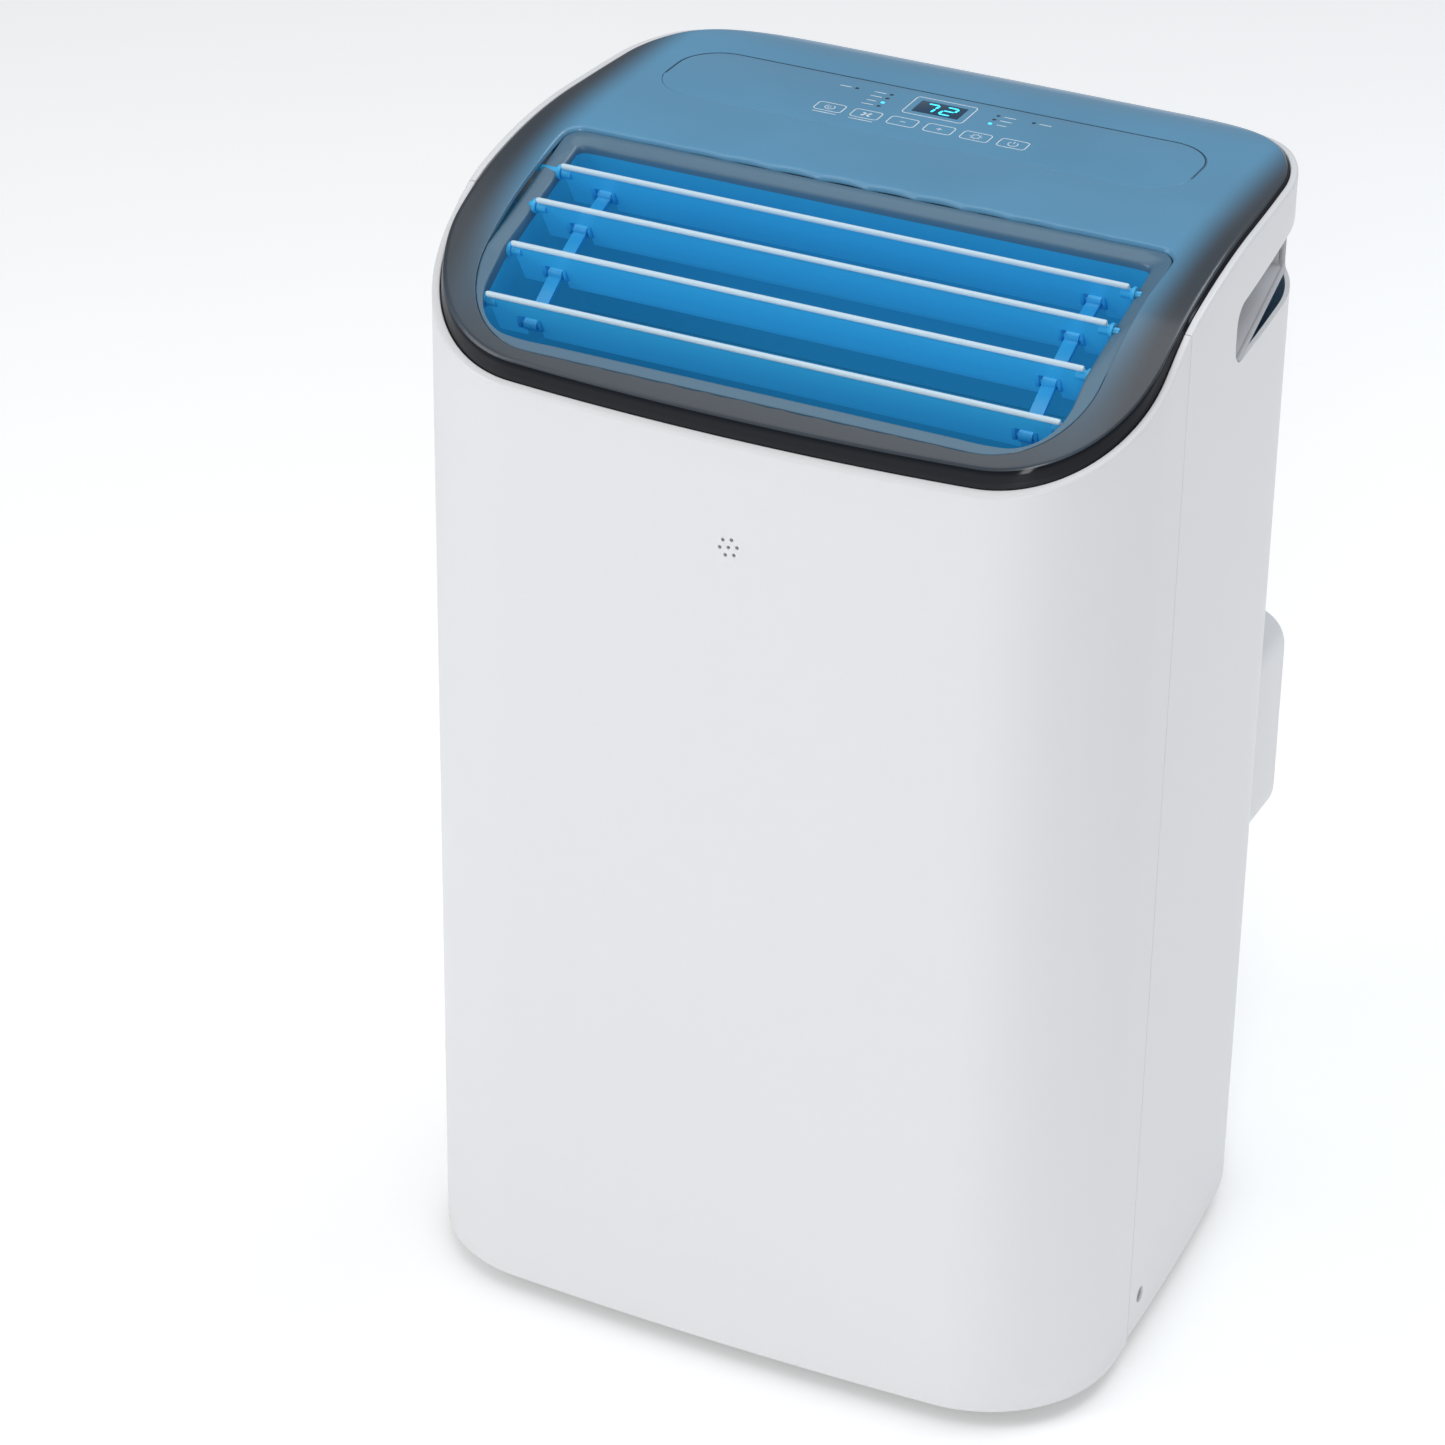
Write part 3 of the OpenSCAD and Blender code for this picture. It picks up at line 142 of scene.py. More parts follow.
class Value:
    """One number on the surface. Plus, minus, times and divide on it add Math nodes."""

    def __init__(self, finish, socket):
        self.finish, self.socket = finish, socket

    def maths(self, operation, left, right=0.0):
        return self.finish.node("Math", {"operation": operation}, {0: left, 1: right}).out("Value")

    def __add__(self, other): return self.maths("ADD", self, other)
    def __radd__(self, other): return self.maths("ADD", other, self)
    def __sub__(self, other): return self.maths("SUBTRACT", self, other)
    def __rsub__(self, other): return self.maths("SUBTRACT", other, self)
    def __mul__(self, other): return self.maths("MULTIPLY", self, other)
    def __rmul__(self, other): return self.maths("MULTIPLY", other, self)
    def __truediv__(self, other): return self.maths("DIVIDE", self, other)
    def absolute(self): return self.maths("ABSOLUTE", self)
    def most(self, other): return self.maths("MAXIMUM", self, other)

    def smooth(self, low, high):
        """0 below low, 1 above high, with an eased step between."""
        n = self.finish.node("MapRange", {"interpolation_type": "SMOOTHSTEP", "clamp": True},
                             {"Value": self, "From Min": low, "From Max": high})
        return n.out("Result")


class Node:
    def __init__(self, finish, node):
        self.finish, self.node = finish, node

    def out(self, name):
        return Value(self.finish, self.node.outputs[name])


class Finish:
    """A material being made: one Principled shader and whatever feeds it."""

    def __init__(self, name, **constants):
        self.material = bpy.data.materials.new(name)
        self.material.use_nodes = True
        self.tree = self.material.node_tree
        self.tree.nodes.clear()
        self.shader = self.node("BsdfPrincipled")
        self.set(**constants)
        self.output = self.node("OutputMaterial", {}, {"Surface": self.shader.out("BSDF")})
        self.place = self.node("TexCoord").out("Object")

    def put(self, socket, value):
        if isinstance(value, Value):
            self.tree.links.new(value.socket, socket)
        elif hasattr(socket.default_value, "__len__") and not isinstance(value, (int, float)):
            socket.default_value = tuple(value) + (1.0,) * (len(socket.default_value) - len(value))
        else:
            socket.default_value = value

    def node(self, kind, settings=None, sockets=None):
        n = self.tree.nodes.new("ShaderNode" + kind)
        for key, value in (settings or {}).items():
            setattr(n, key, value)
        for key, value in (sockets or {}).items():
            self.put(n.inputs[key], value)
        return Node(self, n)

    def set(self, **inputs):
        for key, value in inputs.items():
            self.put(self.shader.node.inputs[key.replace("_", " ")], value)

    def noise(self, scale, detail=3.0, rough=0.5, place=None):
        return self.node("TexNoise", {}, {"Vector": place or self.place, "Scale": scale, "Detail": detail,
                                          "Roughness": rough}).out("Fac")

    def axes(self):
        n = self.node("SeparateXYZ", {}, {0: self.place})
        return n.out("X"), n.out("Y"), n.out("Z")

    def blend(self, factor, first, second):
        n = self.node("Mix", {"data_type": "RGBA"}, {0: factor, 6: first, 7: second})
        return Value(self, n.node.outputs[2])

    def bump(self, height, distance):
        bump = self.node("Bump", {}, {"Height": height, "Distance": distance, "Strength": 1.0})
        self.set(Normal=bump.out("Normal"))


def moulded(name, shade, rough, grain=1400.0, depth=0.00003, vary=0.06, fleck=0.04, **more):
    """Moulded plastic: fine spark-eroded grain as bump, slow mottling of gloss, and a faint drift of colour."""
    f = Finish(name, Roughness=rough, **more)
    slow, fine = f.noise(14.0, 2.0), f.noise(grain, 2.0, 0.6)
    low, high = [c * 0.97 for c in shade], [min(1, c * 1.03) for c in shade]
    f.set(Base_Color=f.blend(slow * fleck + (0.5 - fleck / 2), low, high))
    f.set(Roughness=slow * vary + fine * (vary / 2) + (rough - vary * 0.75))
    f.bump(fine, depth)
    return f.material


def metal(name, shade, rough, stretch=(1.0, 1.0, 30.0), depth=0.00002):
    """Drawn or rolled metal: noise stretched along the drawing direction drives gloss and a fine bump."""
    f = Finish(name, Metallic=1.0)
    place = f.node("Mapping", {}, {"Vector": f.place, "Scale": stretch}).out("Vector")
    lines, slow = f.noise(300.0, 3.0, 0.6, place), f.noise(25.0, 2.0)
    f.set(Base_Color=f.blend(slow, [c * 0.85 for c in shade], shade), Roughness=lines * 0.2 + (rough - 0.1))
    f.bump(lines, depth)
    return f.material


def deck_finish(name, rough):
    """Tinted satin panel: bluish over the middle, greyer towards the edge, with a soft film gloss."""
    c = sizes("colours")
    f = Finish(name, Coat_Weight=0.35, Coat_Roughness=0.12, IOR=1.5)
    x, y, _ = f.axes()
    wide = 1 - (x.absolute() / 0.2).smooth(0.90, 1.03)
    rear = y.smooth(-0.20, -0.03)
    slow, fine = f.noise(9.0, 2.0), f.noise(1600.0, 2.0, 0.6)
    blue = wide * rear * (slow * 0.3 + 0.75)
    f.set(Base_Color=f.blend(blue, tuple(c.edge), tuple(c.deck)))
    f.set(Roughness=slow * 0.05 + fine * 0.05 + (rough - 0.05))
    f.bump(fine, 0.00002)
    return f.material


def fins_finish():
    """Heat exchanger: stacked thin fins as stripes of bump and colour along X; the dark troughs are painted shade
    between the fins.
    """
    f = Finish("heat exchanger fins", Metallic=0.85)
    x = f.axes()[0]
    stripe = f.node("Math", {"operation": "PINGPONG"}, {0: x, 1: 0.0009}).out("Value") / 0.0009
    # dark colour in each trough: painted shade between the fins
    f.set(Base_Color=f.blend(stripe, (0.20, 0.21, 0.22), (0.78, 0.80, 0.81)), Roughness=0.45 - stripe * 0.12)
    f.bump(stripe, 0.0004)
    return f.material


def mesh_finish():
    """Filter cloth: woven threads crossing in X and Z as bump and shade over a dark ground."""
    f = Finish("filter mesh", Roughness=0.6)
    x, _, z = f.axes()
    threads = [f.node("Math", {"operation": "PINGPONG"}, {0: a, 1: 0.0008}).out("Value") / 0.0008 for a in (x, z)]
    weave = threads[0].most(threads[1])
    f.set(Base_Color=f.blend(weave, (0.012, 0.014, 0.017), (0.075, 0.085, 0.095)), Roughness=0.75 - weave * 0.25)
    f.bump(weave, 0.0003)
    return f.material


def board_finish():
    """Circuit board: green solder mask with lighter copper tracks from a grid of cells."""
    f = Finish("solder mask", Roughness=0.35)
    cells = f.node("TexVoronoi", {"feature": "DISTANCE_TO_EDGE"}, {"Vector": f.place, "Scale": 160.0}).out("Distance")
    track = 1 - cells.smooth(0.02, 0.06)
    f.set(Base_Color=f.blend(track, (0.010, 0.075, 0.028), (0.05, 0.20, 0.08)), Roughness=0.42 - track * 0.1)
    f.bump(track, 0.00005)
    return f.material


def glowing(name, shade, strength):
    """Lit lamp: even light through a pale diffuser with a slight mottling."""
    f = Finish(name, Roughness=0.3, Emission_Strength=strength)
    slow = f.noise(900.0, 1.0)
    f.set(Base_Color=tuple(shade), Emission_Color=f.blend(slow * 0.25 + 0.75, [c * 0.6 for c in shade], shade))
    return f.material


# Each plastic: its name, a colour of the palette or one of its own, roughness, grain, depth of the grain, and
# further inputs; "lit" is the strength at which it glows in its own colour. On the duct and the blades this
# glow is painted light: neither is a lamp, and it brightens them deep in the outlet where little light reaches.
PLASTICS = {
    "shell": ("white moulded shell", "shell", 0.36, 1100.0, 0.00003, {"Coat_Weight": 0.12, "Coat_Roughness": 0.25}),
    "band": ("gloss black band", "band", 0.10, 900.0, 0.000005, {"vary": 0.03, "Specular_IOR_Level": 0.25}),
    "bezel": ("bezel blue-grey", "bezel", 0.32, 1500.0, 0.00002, {"Coat_Weight": 0.2}),
    # duct and blades: "lit" paints light on them as an emission, though neither is a lamp
    "duct": ("duct blue", "duct", 0.42, 1200.0, 0.00003, {"lit": 0.30}),
    "blade": ("blade azure", "blade", 0.30, 1300.0, 0.00002, {"Coat_Weight": 0.2, "lit": 0.30}),
    "bead": ("blade bead pale", "bead", 0.28, 1300.0, 0.00001),
    "grip": ("grip grey", "grip", 0.50, 900.0, 0.00005),
    "ink": ("pale print", "ink", 0.45, 2600.0, 0.00001),
    "glass": ("display window", (0.006, 0.05, 0.11), 0.10, 900.0, 0.000005, {"vary": 0.02, "Coat_Weight": 0.6}),
    "dot": ("unlit lamp", (0.010, 0.035, 0.06), 0.2, 1800.0, 0.00001),
    "black": ("black nylon", (0.018, 0.018, 0.019), 0.45, 1000.0, 0.00006),
    "tyre": ("castor tread", (0.012, 0.012, 0.013), 0.34, 700.0, 0.00004),
    "dark": ("dark structural plastic", (0.045, 0.046, 0.048), 0.52, 900.0, 0.00006),
    "pale": ("pale grey plastic", (0.55, 0.57, 0.58), 0.5, 900.0, 0.00005),
    "cream": ("cream nylon", (0.62, 0.61, 0.56), 0.42, 900.0, 0.00005),
    "rubber": ("matt rubber", (0.020, 0.020, 0.020), 0.72, 600.0, 0.00008),
    "paint": ("black enamel", (0.010, 0.010, 0.011), 0.22, 500.0, 0.00006, {"Coat_Weight": 0.5}),
    "fan": ("fan plastic", (0.030, 0.033, 0.038), 0.40, 1000.0, 0.00005),
}
FINISHES = {}


def plastic(name, shade, rough, grain, depth, more=()):
    """Moulded finish of one row of the table."""
    shade = tuple(getattr(sizes("colours"), shade)) if isinstance(shade, str) else shade
    more = dict(more)
    # "lit" becomes emission in the plastic's own colour: painted light on the duct and blades
    lit = more.pop("lit", None)
    if lit:
        more.update(Emission_Color=shade, Emission_Strength=lit)
    return moulded(name, shade, rough, grain, depth, **more)


def finish(name):
    """The finish of that name, made the first time it is asked for."""
    if name not in FINISHES:
        makers = {
            "deck": lambda: deck_finish("deck satin blue-grey", 0.32),
            "inlay": lambda: deck_finish("inlay film", 0.30),
            "link": lambda: moulded("link blue", [v * 1.3 for v in sizes("colours").blade], 0.30, 1300.0, 0.00002),
            "glow": lambda: glowing("lit cyan", tuple(sizes("colours").glow), 1.3),
            "copper": lambda: metal("drawn copper", (0.86, 0.45, 0.28), 0.30),
            "steel": lambda: metal("plated steel", (0.55, 0.56, 0.57), 0.34, (30.0, 1.0, 1.0)),
            "can": lambda: metal("drawn aluminium", (0.80, 0.81, 0.82), 0.28, (1.0, 1.0, 0.1)),
            "screw": lambda: metal("dark zinc", (0.30, 0.30, 0.31), 0.36, (1.0, 1.0, 1.0)),
            "fins": fins_finish,
            "mesh": mesh_finish,
            "board": board_finish,
        }
        FINISHES[name] = plastic(*PLASTICS[name]) if name in PLASTICS else makers[name]()
    return FINISHES[name]


# ---- shapes of the cabinet

BOW, CORNER, CROWN, TAIL, STERN = 2740.0, 84.5, 2220.0, 102.0, 2500.0
RADII = np.array([BOW, CORNER, CROWN, TAIL, STERN])


def turns():
    """Headings where one arc of the plan meets the next, found so that the half outline closes on the centre line."""
    half = WIDTH / 2
    a = math.asin((half - CORNER) / (BOW - CORNER))
    b = math.radians(5)
    for _ in range(12):
        c = math.asin((half - CROWN * (1 - math.cos(b)) - TAIL * math.cos(b)) / (STERN - TAIL))
        b = math.asin((DEPTH - BOW * (1 - math.cos(a)) - CORNER * math.cos(a) - TAIL * math.cos(c)
                       - STERN * (1 - math.cos(c))) / (CROWN - TAIL))
    return np.array([0.0, a, math.pi / 2, math.pi / 2 + b, math.pi - c, math.pi])


TURNS = turns()


def outline(inset, heading):
    """Plan outline by heading: x is the sum of (R - inset)(sin h1 - sin h0) over the arcs passed, y likewise with
    cosines; the left half mirrors the right one."""
    inset, heading = np.broadcast_arrays(np.asarray(inset, float), np.asarray(heading, float))
    heading = np.mod(heading, 2 * math.pi)
    left = heading > math.pi
    h = np.where(left, 2 * math.pi - heading, heading)
    x, y = np.zeros_like(h), -DEPTH / 2 + inset
    for r, h0, h1 in zip(RADII, TURNS[:-1], TURNS[1:]):
        k = np.clip(h, h0, h1)
        x = x + (r - inset) * (np.sin(k) - math.sin(h0))
        y = y + (r - inset) * (math.cos(h0) - np.cos(k))
    return np.where(left, -x, x), y


def headings(step, start=0.0, end=2 * math.pi):
    """Headings whose points lie about step apart along the outline, from start to end."""
    half = np.concatenate([np.linspace(h0, h1, max(3, int(r * (h1 - h0) / step)), endpoint=False)
                           for r, h0, h1 in zip(RADII, TURNS[:-1], TURNS[1:])] + [[math.pi]])
    full = np.concatenate([half[:-1], 2 * math.pi - half[::-1]])
    full = np.concatenate([full - 2 * math.pi, full[1:]])
    inner = full[(full > start + 0.004) & (full < end - 0.004)]
    return np.concatenate([[start], inner, [end]])


def heading_at(y):
    """Heading on the right half where the outline passes depth y."""
    h = np.linspace(0, math.pi, 4001)
    return float(np.interp(y, outline(0, h)[1], h))


def side_x(y, inset):
    """Half width of the outline at depth y, inset included."""
    h = np.linspace(TURNS[1] + 0.3, TURNS[4] - 0.05, 1500)
    px, py = outline(inset, h)
    return np.interp(y, py, px)


DECK_Y, ROUND_Y = DEPTH / 2 - 157.0, DEPTH / 2 - 57.0
CROWN_R, SHOULDER_R, SWEEP_R, ROUND_R = 350.0, 200.0, 1200.0, 130.0
A1, A2 = math.radians(16), math.radians(32.5)
CROWN_Y, CROWN_Z = DECK_Y - CROWN_R * math.sin(A1), DECK - CROWN_R * (1 - math.cos(A1))
SHOULDER_Y = CROWN_Y - SHOULDER_R * (math.sin(A2) - math.sin(A1))
SHOULDER_Z = CROWN_Z - SHOULDER_R * (math.cos(A1) - math.cos(A2))


def deck_at(y):
    """Height of the top at depth y: level deck, two convex arcs, a hollow sweep in front and a round-off behind."""
    y = np.asarray(y, float)
    root = lambda v: np.sqrt(np.maximum(v, 0.0))
    round_off = DECK - ROUND_R + root(ROUND_R**2 - np.maximum(y - ROUND_Y, 0) ** 2)
    crown = DECK - CROWN_R + root(CROWN_R**2 - (DECK_Y - y) ** 2)
    u = SHOULDER_R * math.sin(A1) + CROWN_Y - y
    shoulder = CROWN_Z - SHOULDER_R * math.cos(A1) + root(SHOULDER_R**2 - u**2)
    s = math.sin(A2) - (SHOULDER_Y - y) / SWEEP_R
    sweep = SHOULDER_Z - SWEEP_R * (root(1 - s**2) - math.cos(A2))
    return np.select([y > ROUND_Y, y > DECK_Y, y > CROWN_Y, y > SHOULDER_Y], [round_off, DECK, crown, shoulder],
                     sweep)


def ease(t):
    t = np.clip(t, 0, 1)
    return t * t * (3 - 2 * t)


def rim_at(y):
    """Height of the white rim: the deck less the dark side band, which is tall in front and low behind."""
    return deck_at(y) - 10.5 - (2.2 - 10.5) * ease((np.asarray(y, float) - SHOULDER_Y) / (CROWN_Y - SHOULDER_Y))


def rounded_slot(half, front, rear, r_front, r_rear, n=14):
    """Outline with two larger round corners in front and two smaller ones behind, counter-clockwise."""
    parts = []
    for cx, cy, r, a in ((half - r_front, front + r_front, r_front, -90), (half - r_rear, rear - r_rear, r_rear, 0),
                         (r_rear - half, rear - r_rear, r_rear, 90), (r_front - half, front + r_front, r_front, 180)):
        t = np.radians(a + np.linspace(0, 90, n))
        parts.append(np.column_stack([cx + r * np.cos(t), cy + r * np.sin(t)]))
    return np.vstack(parts)


def polar(points, centre):
    """Radius of a closed star-shaped outline as a function of the angle about centre."""
    closed = np.vstack([points, points[:1]])
    seg = np.linspace(closed[:-1], closed[1:], 12, endpoint=False, axis=1).reshape(-1, 2) - centre
    angle, radius = np.arctan2(seg[:, 1], seg[:, 0]), np.hypot(seg[:, 0], seg[:, 1])
    order = np.argsort(angle)
    angle, radius = angle[order], radius[order]
    angle = np.concatenate([angle[-4:] - 2 * math.pi, angle, angle[:4] + 2 * math.pi])
    radius = np.concatenate([radius[-4:], radius, radius[:4]])
    return lambda t: np.interp(t, angle, radius)


# ---- mesh helpers

def to_frame(points):
    """Millimetres about the cabinet's middle to metres in the shared frame."""
    p = np.asarray(points, float).reshape(-1, 3) * MM
    p[:, 1] += MIDDLE
    return p


def grid_faces(rows, columns, wrap_rows=False, wrap_columns=False):
    """Quads of a grid whose vertex number is row * columns + column."""
    i, j = np.arange(rows if wrap_rows else rows - 1), np.arange(columns if wrap_columns else columns - 1)
    i, j = np.meshgrid(i, j, indexing="ij")
    i1, j1 = (i + 1) % rows, (j + 1) % columns
    return np.stack([i * columns + j, i1 * columns + j, i1 * columns + j1, i * columns + j1], -1).reshape(-1, 4)


def tube_faces(rings, n):
    """Faces of a tube of rings of n points each, closed by one face at either end."""
    ends = [tuple(range(n)), tuple(range(rings * n - 1, (rings - 1) * n - 1, -1))]
    return [tuple(f) for f in grid_faces(rings, n, wrap_columns=True)] + ends


def ring_piece(name, grid, *rest, **more):
    """Piece of a grid of points that closes on itself both ways."""
    return piece(name, grid.reshape(-1, 3), grid_faces(*grid.shape[:2], True, True), *rest, **more)


def piece(name, verts, faces, materials, body, nodes=(), slot=None, index=None, sharp=30.0, world=None, recalc=True):
    """One finished piece: points in millimetres become a mesh in the shared frame that rides on a body."""
    mesh = bpy.data.meshes.new(name)
    mesh.from_pydata(world if world is not None else to_frame(verts), [], [tuple(map(int, f)) for f in faces])
    if index is not None:
        mesh.polygons.foreach_set("material_index", np.asarray(index, np.int32))
    obj = bpy.data.objects.new(name, mesh)
    bpy.context.scene.collection.objects.link(obj)
    for m in materials if isinstance(materials, (list, tuple)) else [materials]:
        mesh.materials.append(finish(m))
    if recalc:
        tidy(mesh)
    shade(mesh, sharp)
    if body:
        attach(obj, body)
        if nodes:
            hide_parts(*([nodes] if isinstance(nodes, str) else nodes))
    return obj


def tidy(mesh):
    """Merges doubles and turns every face outwards."""
    bm = bmesh.new()
    bm.from_mesh(mesh)
    bmesh.ops.remove_doubles(bm, verts=bm.verts, dist=1e-6)
    bmesh.ops.recalc_face_normals(bm, faces=bm.faces)
    bm.to_mesh(mesh)
    bm.free()


def shade(mesh, sharp):
    mesh.shade_smooth()
    mesh.set_sharp_from_angle(angle=math.radians(sharp))


def carve(obj, cutter, sharp=30.0):
    """Cuts the closed cutter out of the piece and keeps the result as its mesh."""
    bpy.context.view_layer.update()
    cut = obj.modifiers.new("cut", "BOOLEAN")
    cut.operation, cut.solver, cut.object = "DIFFERENCE", "EXACT", cutter
    result = bpy.data.meshes.new_from_object(obj.evaluated_get(bpy.context.evaluated_depsgraph_get()))
    if len(result.polygons) == 0:
        raise RuntimeError("the cut left nothing of " + obj.name)
    obj.modifiers.clear()
    name = obj.data.name
    old, obj.data = obj.data, result
    bpy.data.meshes.remove(old)
    obj.data.name = name
    bpy.data.objects.remove(cutter)
    shade(obj.data, sharp)


def prism(points, axis, low, high):
    """Closed prism of a 2D outline along x, y or z; the outline lies in the other two axes in their order."""
    points, n = np.asarray(points, float), len(points)
    order = {"x": (2, 0, 1), "y": (0, 2, 1), "z": (0, 1, 2)}[axis]
    layers = [np.column_stack([points, np.full(n, v)])[:, order] for v in (low, high)]
    faces = [tuple(range(n)), tuple(range(2 * n - 1, n - 1, -1))]
    faces += [(i, (i + 1) % n, n + (i + 1) % n, n + i) for i in range(n)]
    return np.vstack(layers), faces


def joined(parts):
    """One list of points and faces out of several."""
    verts, faces, base = [], [], 0
    for v, f in parts:
        verts.append(np.asarray(v, float).reshape(-1, 3))
        faces += [tuple(int(i) + base for i in face) for face in f]
        base += len(verts[-1])
    return np.vstack(verts), faces


def cutter(parts):
    verts, faces = joined(parts)
    return piece("cutter", verts, faces, "dark", None)


def circle(cx, cy, r, n=32):
    t = np.linspace(0, 2 * math.pi, n, endpoint=False)
    return np.column_stack([cx + r * np.cos(t), cy + r * np.sin(t)])


def box2(x0, x1, y0, y1):
    return np.array([[x0, y0], [x1, y0], [x1, y1], [x0, y1]], float)


def soft_box(x0, x1, y0, y1, r, n=6):
    return rounded_slot((x1 - x0) / 2, -(y1 - y0) / 2, (y1 - y0) / 2, r, r, n) + [(x0 + x1) / 2, (y0 + y1) / 2]


def shrink(points, d):
    """The outline moved inwards by d along its corner normals."""
    p = np.asarray(points, float)
    e = np.roll(p, -1, 0) - p
    keep = np.hypot(*e.T) > 1e-9
    p, e = p[keep], e[keep]
    n = np.column_stack([-e[:, 1], e[:, 0]]) / np.hypot(*e.T)[:, None]
    m = n + np.roll(n, 1, 0)
    m /= np.maximum(np.sum(m * n, 1), 0.3)[:, None]
    return p + m * d


def slab(points, axis, low, high, r=0.5, n=3):
    """Plate of a 2D outline along an axis with rounded rims: the outline shrinks by r(1 - sin a) over the last r."""
    order = {"x": (2, 0, 1), "y": (0, 2, 1), "z": (0, 1, 2)}[axis]
    a = np.linspace(0, math.pi / 2, n + 1)
    levels = [(low + r * (1 - math.sin(t)), r * (1 - math.cos(t))) for t in a[::-1]]
    levels += [(high - r * (1 - math.sin(t)), r * (1 - math.cos(t))) for t in a]
    rings = [np.column_stack([q := shrink(points, d), np.full(len(q), v)])[:, order] for v, d in levels]
    return np.vstack(rings), tube_faces(len(rings), len(rings[0]))


def turned(profile, axis, centre, n=40):
    """Profile of (distance along the axis, radius) spun about the axis through centre; ends on the axis close it."""
    profile, t = np.asarray(profile, float), np.linspace(0, 2 * math.pi, n, endpoint=False)
    along, radius = profile[:, :1], profile[:, 1:]
    u, v = radius * np.cos(t), radius * np.sin(t)
    w = np.broadcast_to(along, u.shape)
    stack = {"x": (w, u, v), "y": (v, w, u), "z": (u, v, w)}[axis]
    verts = np.stack(stack, -1).reshape(-1, 3) + np.asarray(centre, float)
    return verts, [tuple(f) for f in grid_faces(len(profile), n, wrap_columns=True)]


# ---- covers

def profile_arc(inset, rise, r, start, end, level, n=5):
    """Quarter or so of a circle in the cross-section: angle 0 points out of the cabinet, 90 points up."""
    a = np.radians(np.linspace(start, end, n))
    return np.column_stack([inset - r * np.cos(a), np.full(n, level), rise + r * np.sin(a)])


def cover_profile(rows=26):
    """Closed cross-section of a cover: rounded foot, outer wall, rounded rim, rim's inner face and inner wall."""
    s = sizes("cabinet")
    k = np.linspace(0, 1, rows)[1:-1]
    wall = np.column_stack([np.zeros(rows - 2), k, 1.2 + (-1.6 - 1.2) * k])
    inner = np.linspace(1, 0, 8)
    return np.vstack([
        profile_arc(1.2, 1.2, 1.2, -90, 0, 0.0), wall, profile_arc(1.6, -1.6, 1.6, 0, 90, 1.0, 6),
        profile_arc(s.rim - 1.0, -1.0, 1.0, 90, 180, 1.0, 5), [[s.rim, 1.0, -9.0], [s.wall + 0.3, 1.0, -10.5]],
        np.column_stack([np.full(8, s.wall), inner, np.interp(inner, [0, 1], [1.0, -12.0])]),
        [[s.wall - 0.5, 0.0, 0.0]]])


def carried(profile, h, foot):
    """Cross-section carried round the outline: at each heading a point sits at its inset, and its height runs from
    the foot (level 0) to the rim at that depth (level 1), plus its rise."""
    x, y = outline(profile[None, :, 0], h[:, None])
    z = foot + (rim_at(y) - foot) * profile[None, :, 1] + profile[None, :, 2]
    return np.stack([x, y, z], -1)


def cover(name, start, end, foot, node):
    """One cover: the closed cross-section carried from one seam to the other, its ends capped."""
    profile, h = cover_profile(), headings(sizes("cabinet").step, start, end)
    points = carried(profile, h, foot)
    return piece(name, points.reshape(-1, 3), tube_faces(*points.shape[:2]), "shell", "cabinet", node, "white_shell")


def grip_outline(grow, n=10):
    """Grip pocket seen from the side: round front end, square rear end, top edge rising to the rear."""
    low, high = mm_box("grip_right")
    y0, y1, z0, zr = low[1] - grow, high[1] + grow, low[2] - grow, high[2] + grow
    zf, r = z0 + 36 + 2 * grow, 12.0 + grow
    lean = math.degrees(math.atan2(zr - zf, y1 - y0))
    arc = lambda cy, cz, rr, a0, a1: np.column_stack([cy + rr * np.cos(t := np.radians(np.linspace(a0, a1, n))),
                                                      cz + rr * np.sin(t)])
    return np.vstack([arc(y0 + r, z0 + r, r, 180, 270), arc(y1 - 4, z0 + 4, 4, 270, 360),
                      arc(y1 - 5, zr - 5.4, 5, 0, 90 + lean), arc(y0 + r, zf - r, r, 90 + lean, 180)])


def exhaust_frame(grow=0.0, n=12):
    low, high = mm_box("exhaust_housing")
    return soft_box(low[0] - grow, high[0] + grow, low[2] - grow, high[2] + grow, 22.0 + grow, n)


class AIRCON_OT_front_cover(bpy.types.Operator):
    bl_idname = "aircon.front_cover"
    bl_label = "Front cover"

    def execute(self, context):
        """Builds the bowed front cover with its rim and the seven sensor holes."""
        seam = heading_at(-DEPTH / 2 + sizes("cabinet").seam - 0.3)
        obj = cover("front_shell", -seam, seam, LOW, "front_cover")
        z = sum(mm_box("sensor_board"))[2] / 2
        a = np.radians(np.arange(0, 360, 60) + 10)
        holes = np.vstack([[0, 0], np.column_stack([np.cos(a), np.sin(a)]) * 5.3]) + [0, z]
        carve(obj, cutter([prism(circle(*p, 1.15, 24), "y", -DEPTH / 2 - 4, -DEPTH / 2 + 6) for p in holes]))
        return {"FINISHED"}


